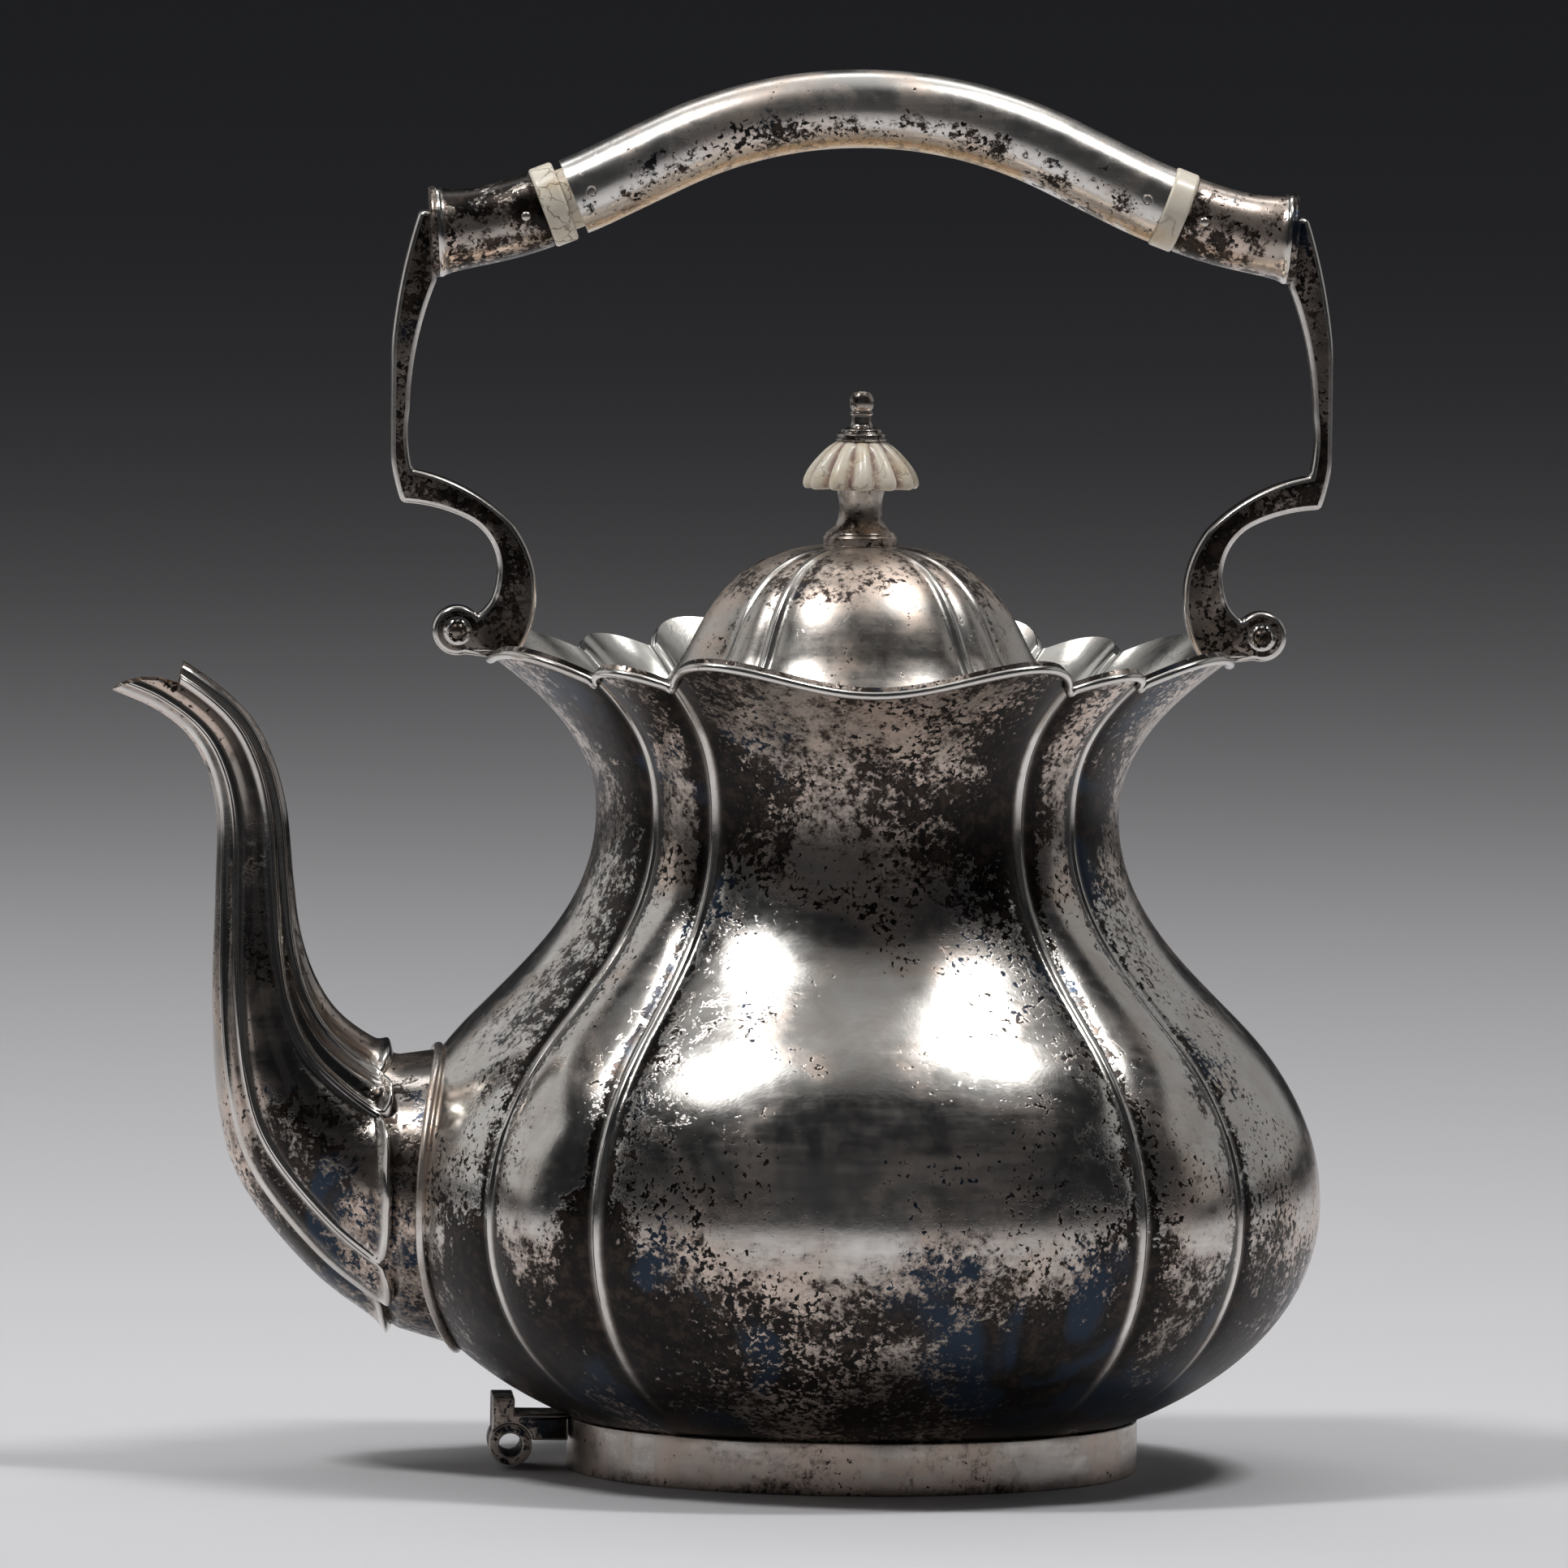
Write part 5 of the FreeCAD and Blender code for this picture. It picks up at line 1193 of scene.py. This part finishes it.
armShape = {"width": 0.95, "steps": 3, "fuller": 0.5, "eye": (78.0, 166.0), "eyeClear": 8.0,
            "eyeBlend": 4.0}
lugShape = {"width": 0.35, "steps": 2}
armPaint = oldSilver("armSilver", {
    "black": 0.01, "haze": 0.0, "rubFrom": "rub", "rub": 1.0, "gloss": 0.2, "shift": 14.0,
    "patchScale": 50, "veil": 0.4, "smoke": 0.92, "hazeDepth": 0.4, "sootRough": 0.08})
lugPaint = oldSilver("lugSilver", {
    "black": 0.0, "haze": 0.25, "rubFrom": "rub", "gloss": 0.3, "shift": 16.0, "patchScale": 80,
    "veil": 0.7, "blue": -0.06, "relief": 0.35})
for name, node, shape, paint, slot in (
        ("armLeft", "handle_arm_left", armShape, armPaint, "arm_silver"),
        ("armRight", "handle_arm_right", armShape, armPaint, "arm_silver"),
        ("lugBarrel", "lug_barrel", lugShape, lugPaint, "lug_silver"),
        ("lugBracket", "lug_bracket", lugShape, lugPaint, "lug_silver")):
    pairs.append((roundedCopy(node, name, shape, paint), slot, node))
print("handle", [len(piece.data.polygons) for piece, slot, node in pairs])


# Cross pins, domed or tubular, one at each place
def pinTree():
    wire, given = startTree("crossPins", {
        "Places": "Object", "Domed Pin": "Object", "Tube Pin": "Object"})
    places = shapeOf(wire, given["Places"])
    tubular = recalled(wire, "tubular")
    parts = []
    for label, chosen in (("Domed Pin", 1 - tubular), ("Tube Pin", tubular)):
        parts.append(wire.node("GeometryNodeInstanceOnPoints", {
            0: places, "Selection": chosen > 0.5, "Instance": shapeOf(wire, given[label])}))
    return endTree(wire, joinedParts(wire, parts), given)


# Point at a distance along a line, from its first point
def pinAt(line, distance):
    along = 0.0
    for first, second in zip(np.array(line), np.array(line[1:])):
        step = np.linalg.norm(second - first)
        if along + step >= distance:
            return first + (second - first) * (distance - along) / step
        along += step


# An end is (radius, depth below the tip, rounding)
pinSize = {"half": 8.2, "sides": 24, "fromRing": 3.6, "socketLength": 21.5,
           "domedEnd": [(0.02, 0.0, 0), (0.75, 0.12, 0.3), (1.15, 0.8, 0.3)],
           "tubeEnd": [(0.75, 0.25, 0.1), (1.15, 0.2, 0.1)]}


# Pin along Y with the same end twice
def pinFrom(name, end, steps, closed):
    far = [(radius, pinSize["half"] - depth, rounding) for radius, depth, rounding in end]
    near = [(radius, -height, rounding) for radius, height, rounding in far]
    pin = lathed(name, eased(near + far[::-1], steps, closed), pinSize["sides"], closed)
    pin.data.transform(Matrix.Rotation(math.pi / 2, 4, "X"))
    return pin


domedPin = pinFrom("domedPin", pinSize["domedEnd"], 5, False)
tubePin = pinFrom("tubePin", pinSize["tubeEnd"], 4, True)
pinSlope = ringSlope + (endSlope - ringSlope) * pinSize["fromRing"] / pinSize["socketLength"]
socketX, socketZ = arcPoint(socketCentre, pinSlope, socketRadius)
gripLeft = pinAt(gripLine, pinSize["fromRing"])
gripRight = pinAt(gripLine[::-1], pinSize["fromRing"])
# x, z and 1 for a tube
pinPlaces = [(-socketX, socketZ, 0), (gripLeft[0], gripLeft[2], 1), (gripRight[0], gripRight[2], 1),
             (socketX, socketZ, 0)]
placeMesh = bpy.data.meshes.new("pinPlaces")
placeMesh.from_pydata([(x * mm, 0, z * mm) for x, z, kind in pinPlaces], [], [])
places = linked("pinPlaces", placeMesh)
storeValues(places, "tubular", [kind for x, z, kind in pinPlaces])
pinPaint = oldSilver("pinSilver", {"black": -0.16, "haze": -0.05, "gloss": 0.2, "shift": 18.0})
pins = finished("crossPins", pinTree(), {
    "Places": places, "Domed Pin": domedPin, "Tube Pin": tubePin, "Material": pinPaint},
    50, places, domedPin, tubePin)

placed(vessel, "kettle", "vessel_silver", "body_shell")
placed(rim, "kettle", "wire_silver", "rim_wire")
placed(bead, "kettle", "wire_silver", "spout_bead")
placed(foot, "kettle", "foot_silver", "foot_ring")
placed(spout, "kettle", "spout_silver", "spout_shell")
placed(collar, "kettle", "spout_silver", "spout_collar")
placed(lid, "lid", "lid_silver", "lid_dome")
placed(stem, "lid", "knob_silver", "knob_stem")
placed(finial, "lid", "knob_silver", "knob_finial")
placed(cap, "lid", "ivory", "knob_cap")
placed(grip, "kettle", "grip_silver", "handle_grip")
for piece, slot, node in pairs:
    placed(piece, "kettle", slot, node)
placed(pins, "kettle", "pin_silver", "ferrule_pin_left", "ferrule_pin_right", "grip_pin_left",
       "grip_pin_right")

# Made nodes that stay as they are take their own finishes
crackedPaint = oldIvory("crackedIvory", {
    "shift": 3.0, "crackScale": 230, "crackDepth": 0.85, "crackFrom": 0.38})
ringPaint = oldIvory("ringIvory", {
    "shift": 5.0, "crackScale": 150, "crackDepth": 0.4, "crackFrom": 0.58})
insidePaint = oldSilver("insideSilver", {
    "black": -0.1, "haze": 0.22, "gloss": 0.3, "shift": 20.0, "veil": 0.5})
keptNodes = [
    (crackedPaint, "ivory", ["insulator_left"]),
    (ringPaint, "ivory", ["insulator_right"]),
    (armPaint, "arm_silver", ["ferrule_disc_left", "ferrule_disc_right"]),
    (insidePaint, "inner_silver", [
        "base_plate", "neck_deck", "lid_bezel", "knob_stud", "knob_nut"]),
]
for paint, slot, nodes in keptNodes:
    for made in [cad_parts[node] for node in nodes]:
        if made.material_slots:
            for place in made.material_slots:
                place.material = paint
        else:
            made.data.materials.append(paint)

# Pale floor under soft light; it falls away into the dark with distance
floorMesh = bpy.data.meshes.new("floor")
floorMesh.from_pydata([(-9, -9, 0), (9, -9, 0), (9, 14, 0), (-9, 14, 0)], [], [(0, 1, 2, 3)])
floor = linked("floor", floorMesh)
painted(floor, Paint("floorCard").join(Base_Color=(0.83, 0.82, 0.84, 1), Roughness=0.6))

world = bpy.data.worlds.new("studio")
world.use_nodes = True
scene.world = world
sky = world.node_tree.nodes["Background"]
sky.inputs["Color"].default_value = (0.014, 0.0145, 0.016, 1)
sky.inputs["Strength"].default_value = 1.0


def softBox(name, place, aim, wide, tall, power):
    lamp = bpy.data.lights.new(name, "AREA")
    lamp.shape = "RECTANGLE"
    lamp.size, lamp.size_y = wide, tall
    lamp.energy = power
    made = linked(name, lamp)
    made.location = place
    made.rotation_mode = "QUATERNION"
    made.rotation_quaternion = (Vector(aim) - Vector(place)).to_track_quat("-Z", "Y")


leftPlace, rightPlace, middle = (-0.60, -0.24, 1.30), (0.52, -0.08, 1.35), (0, 0, 0.1)
# Name, place, aim, width, height and power
lamps = [
    ("leftBox", leftPlace, middle, 0.16, 0.24, 6.3),
    ("leftGlow", leftPlace, middle, 0.40, 0.56, 0.75),
    ("rightBox", rightPlace, middle, 0.12, 0.27, 6.1),
    ("rightGlow", rightPlace, middle, 0.32, 0.56, 0.60),
]
# Stacked panels of growing width make a ceiling that fades towards its edges
ceiling = {"widths": (1.0, 1.6, 2.2, 2.8), "back": 0.55, "height": 1.9, "apart": 0.02,
           "power": 0.42}
for number, width in enumerate(ceiling["widths"]):
    place = (0, ceiling["back"], ceiling["height"] + number * ceiling["apart"])
    lamps.append(("ceiling%d" % number, place, (0, ceiling["back"], 0), width, width,
                  ceiling["power"] * width ** 2))
lamps += [
    ("backStrip", (0, 0.95, 1.85), (0, 0, 0.2), 1.6, 0.35, 3.6),
    ("leftWall", (-1.15, 0.70, 0.65), middle, 2.0, 1.0, 3.0),
    ("frontFill", (0, -3.5, 1.2), middle, 4.0, 2.4, 0.5),
    ("rightWall", (1.20, 0.70, 0.65), middle, 2.0, 1.0, 1.7),
]
for lamp in lamps:
    softBox(*lamp)

# Camera of the photo: angles in degrees, aim in mm, distance in metres
view = {"sensor": 36.0, "lens": 521.7, "azimuth": -2.4, "elevation": 3.9, "roll": 0.6,
        "aim": (-14.6, 0, 136.0), "distance": 4.5, "far": 60}
camera = linked("camera", bpy.data.cameras.new("camera"))
camera.data.sensor_width = view["sensor"]
camera.data.lens = view["lens"]
camera.data.clip_end = view["far"]
azimuth, elevation, roll = [math.radians(view[name]) for name in ("azimuth", "elevation", "roll")]
back = Vector((math.sin(azimuth) * math.cos(elevation), -math.cos(azimuth) * math.cos(elevation),
               math.sin(elevation)))
camera.location = Vector(view["aim"]) * mm + back * view["distance"]
camera.rotation_mode = "QUATERNION"
camera.rotation_quaternion = ((-back).to_track_quat("-Z", "Y").to_matrix()
                              @ Matrix.Rotation(roll, 3, "Z")).to_quaternion()
scene.camera = camera
scene.view_settings.view_transform = "Standard"
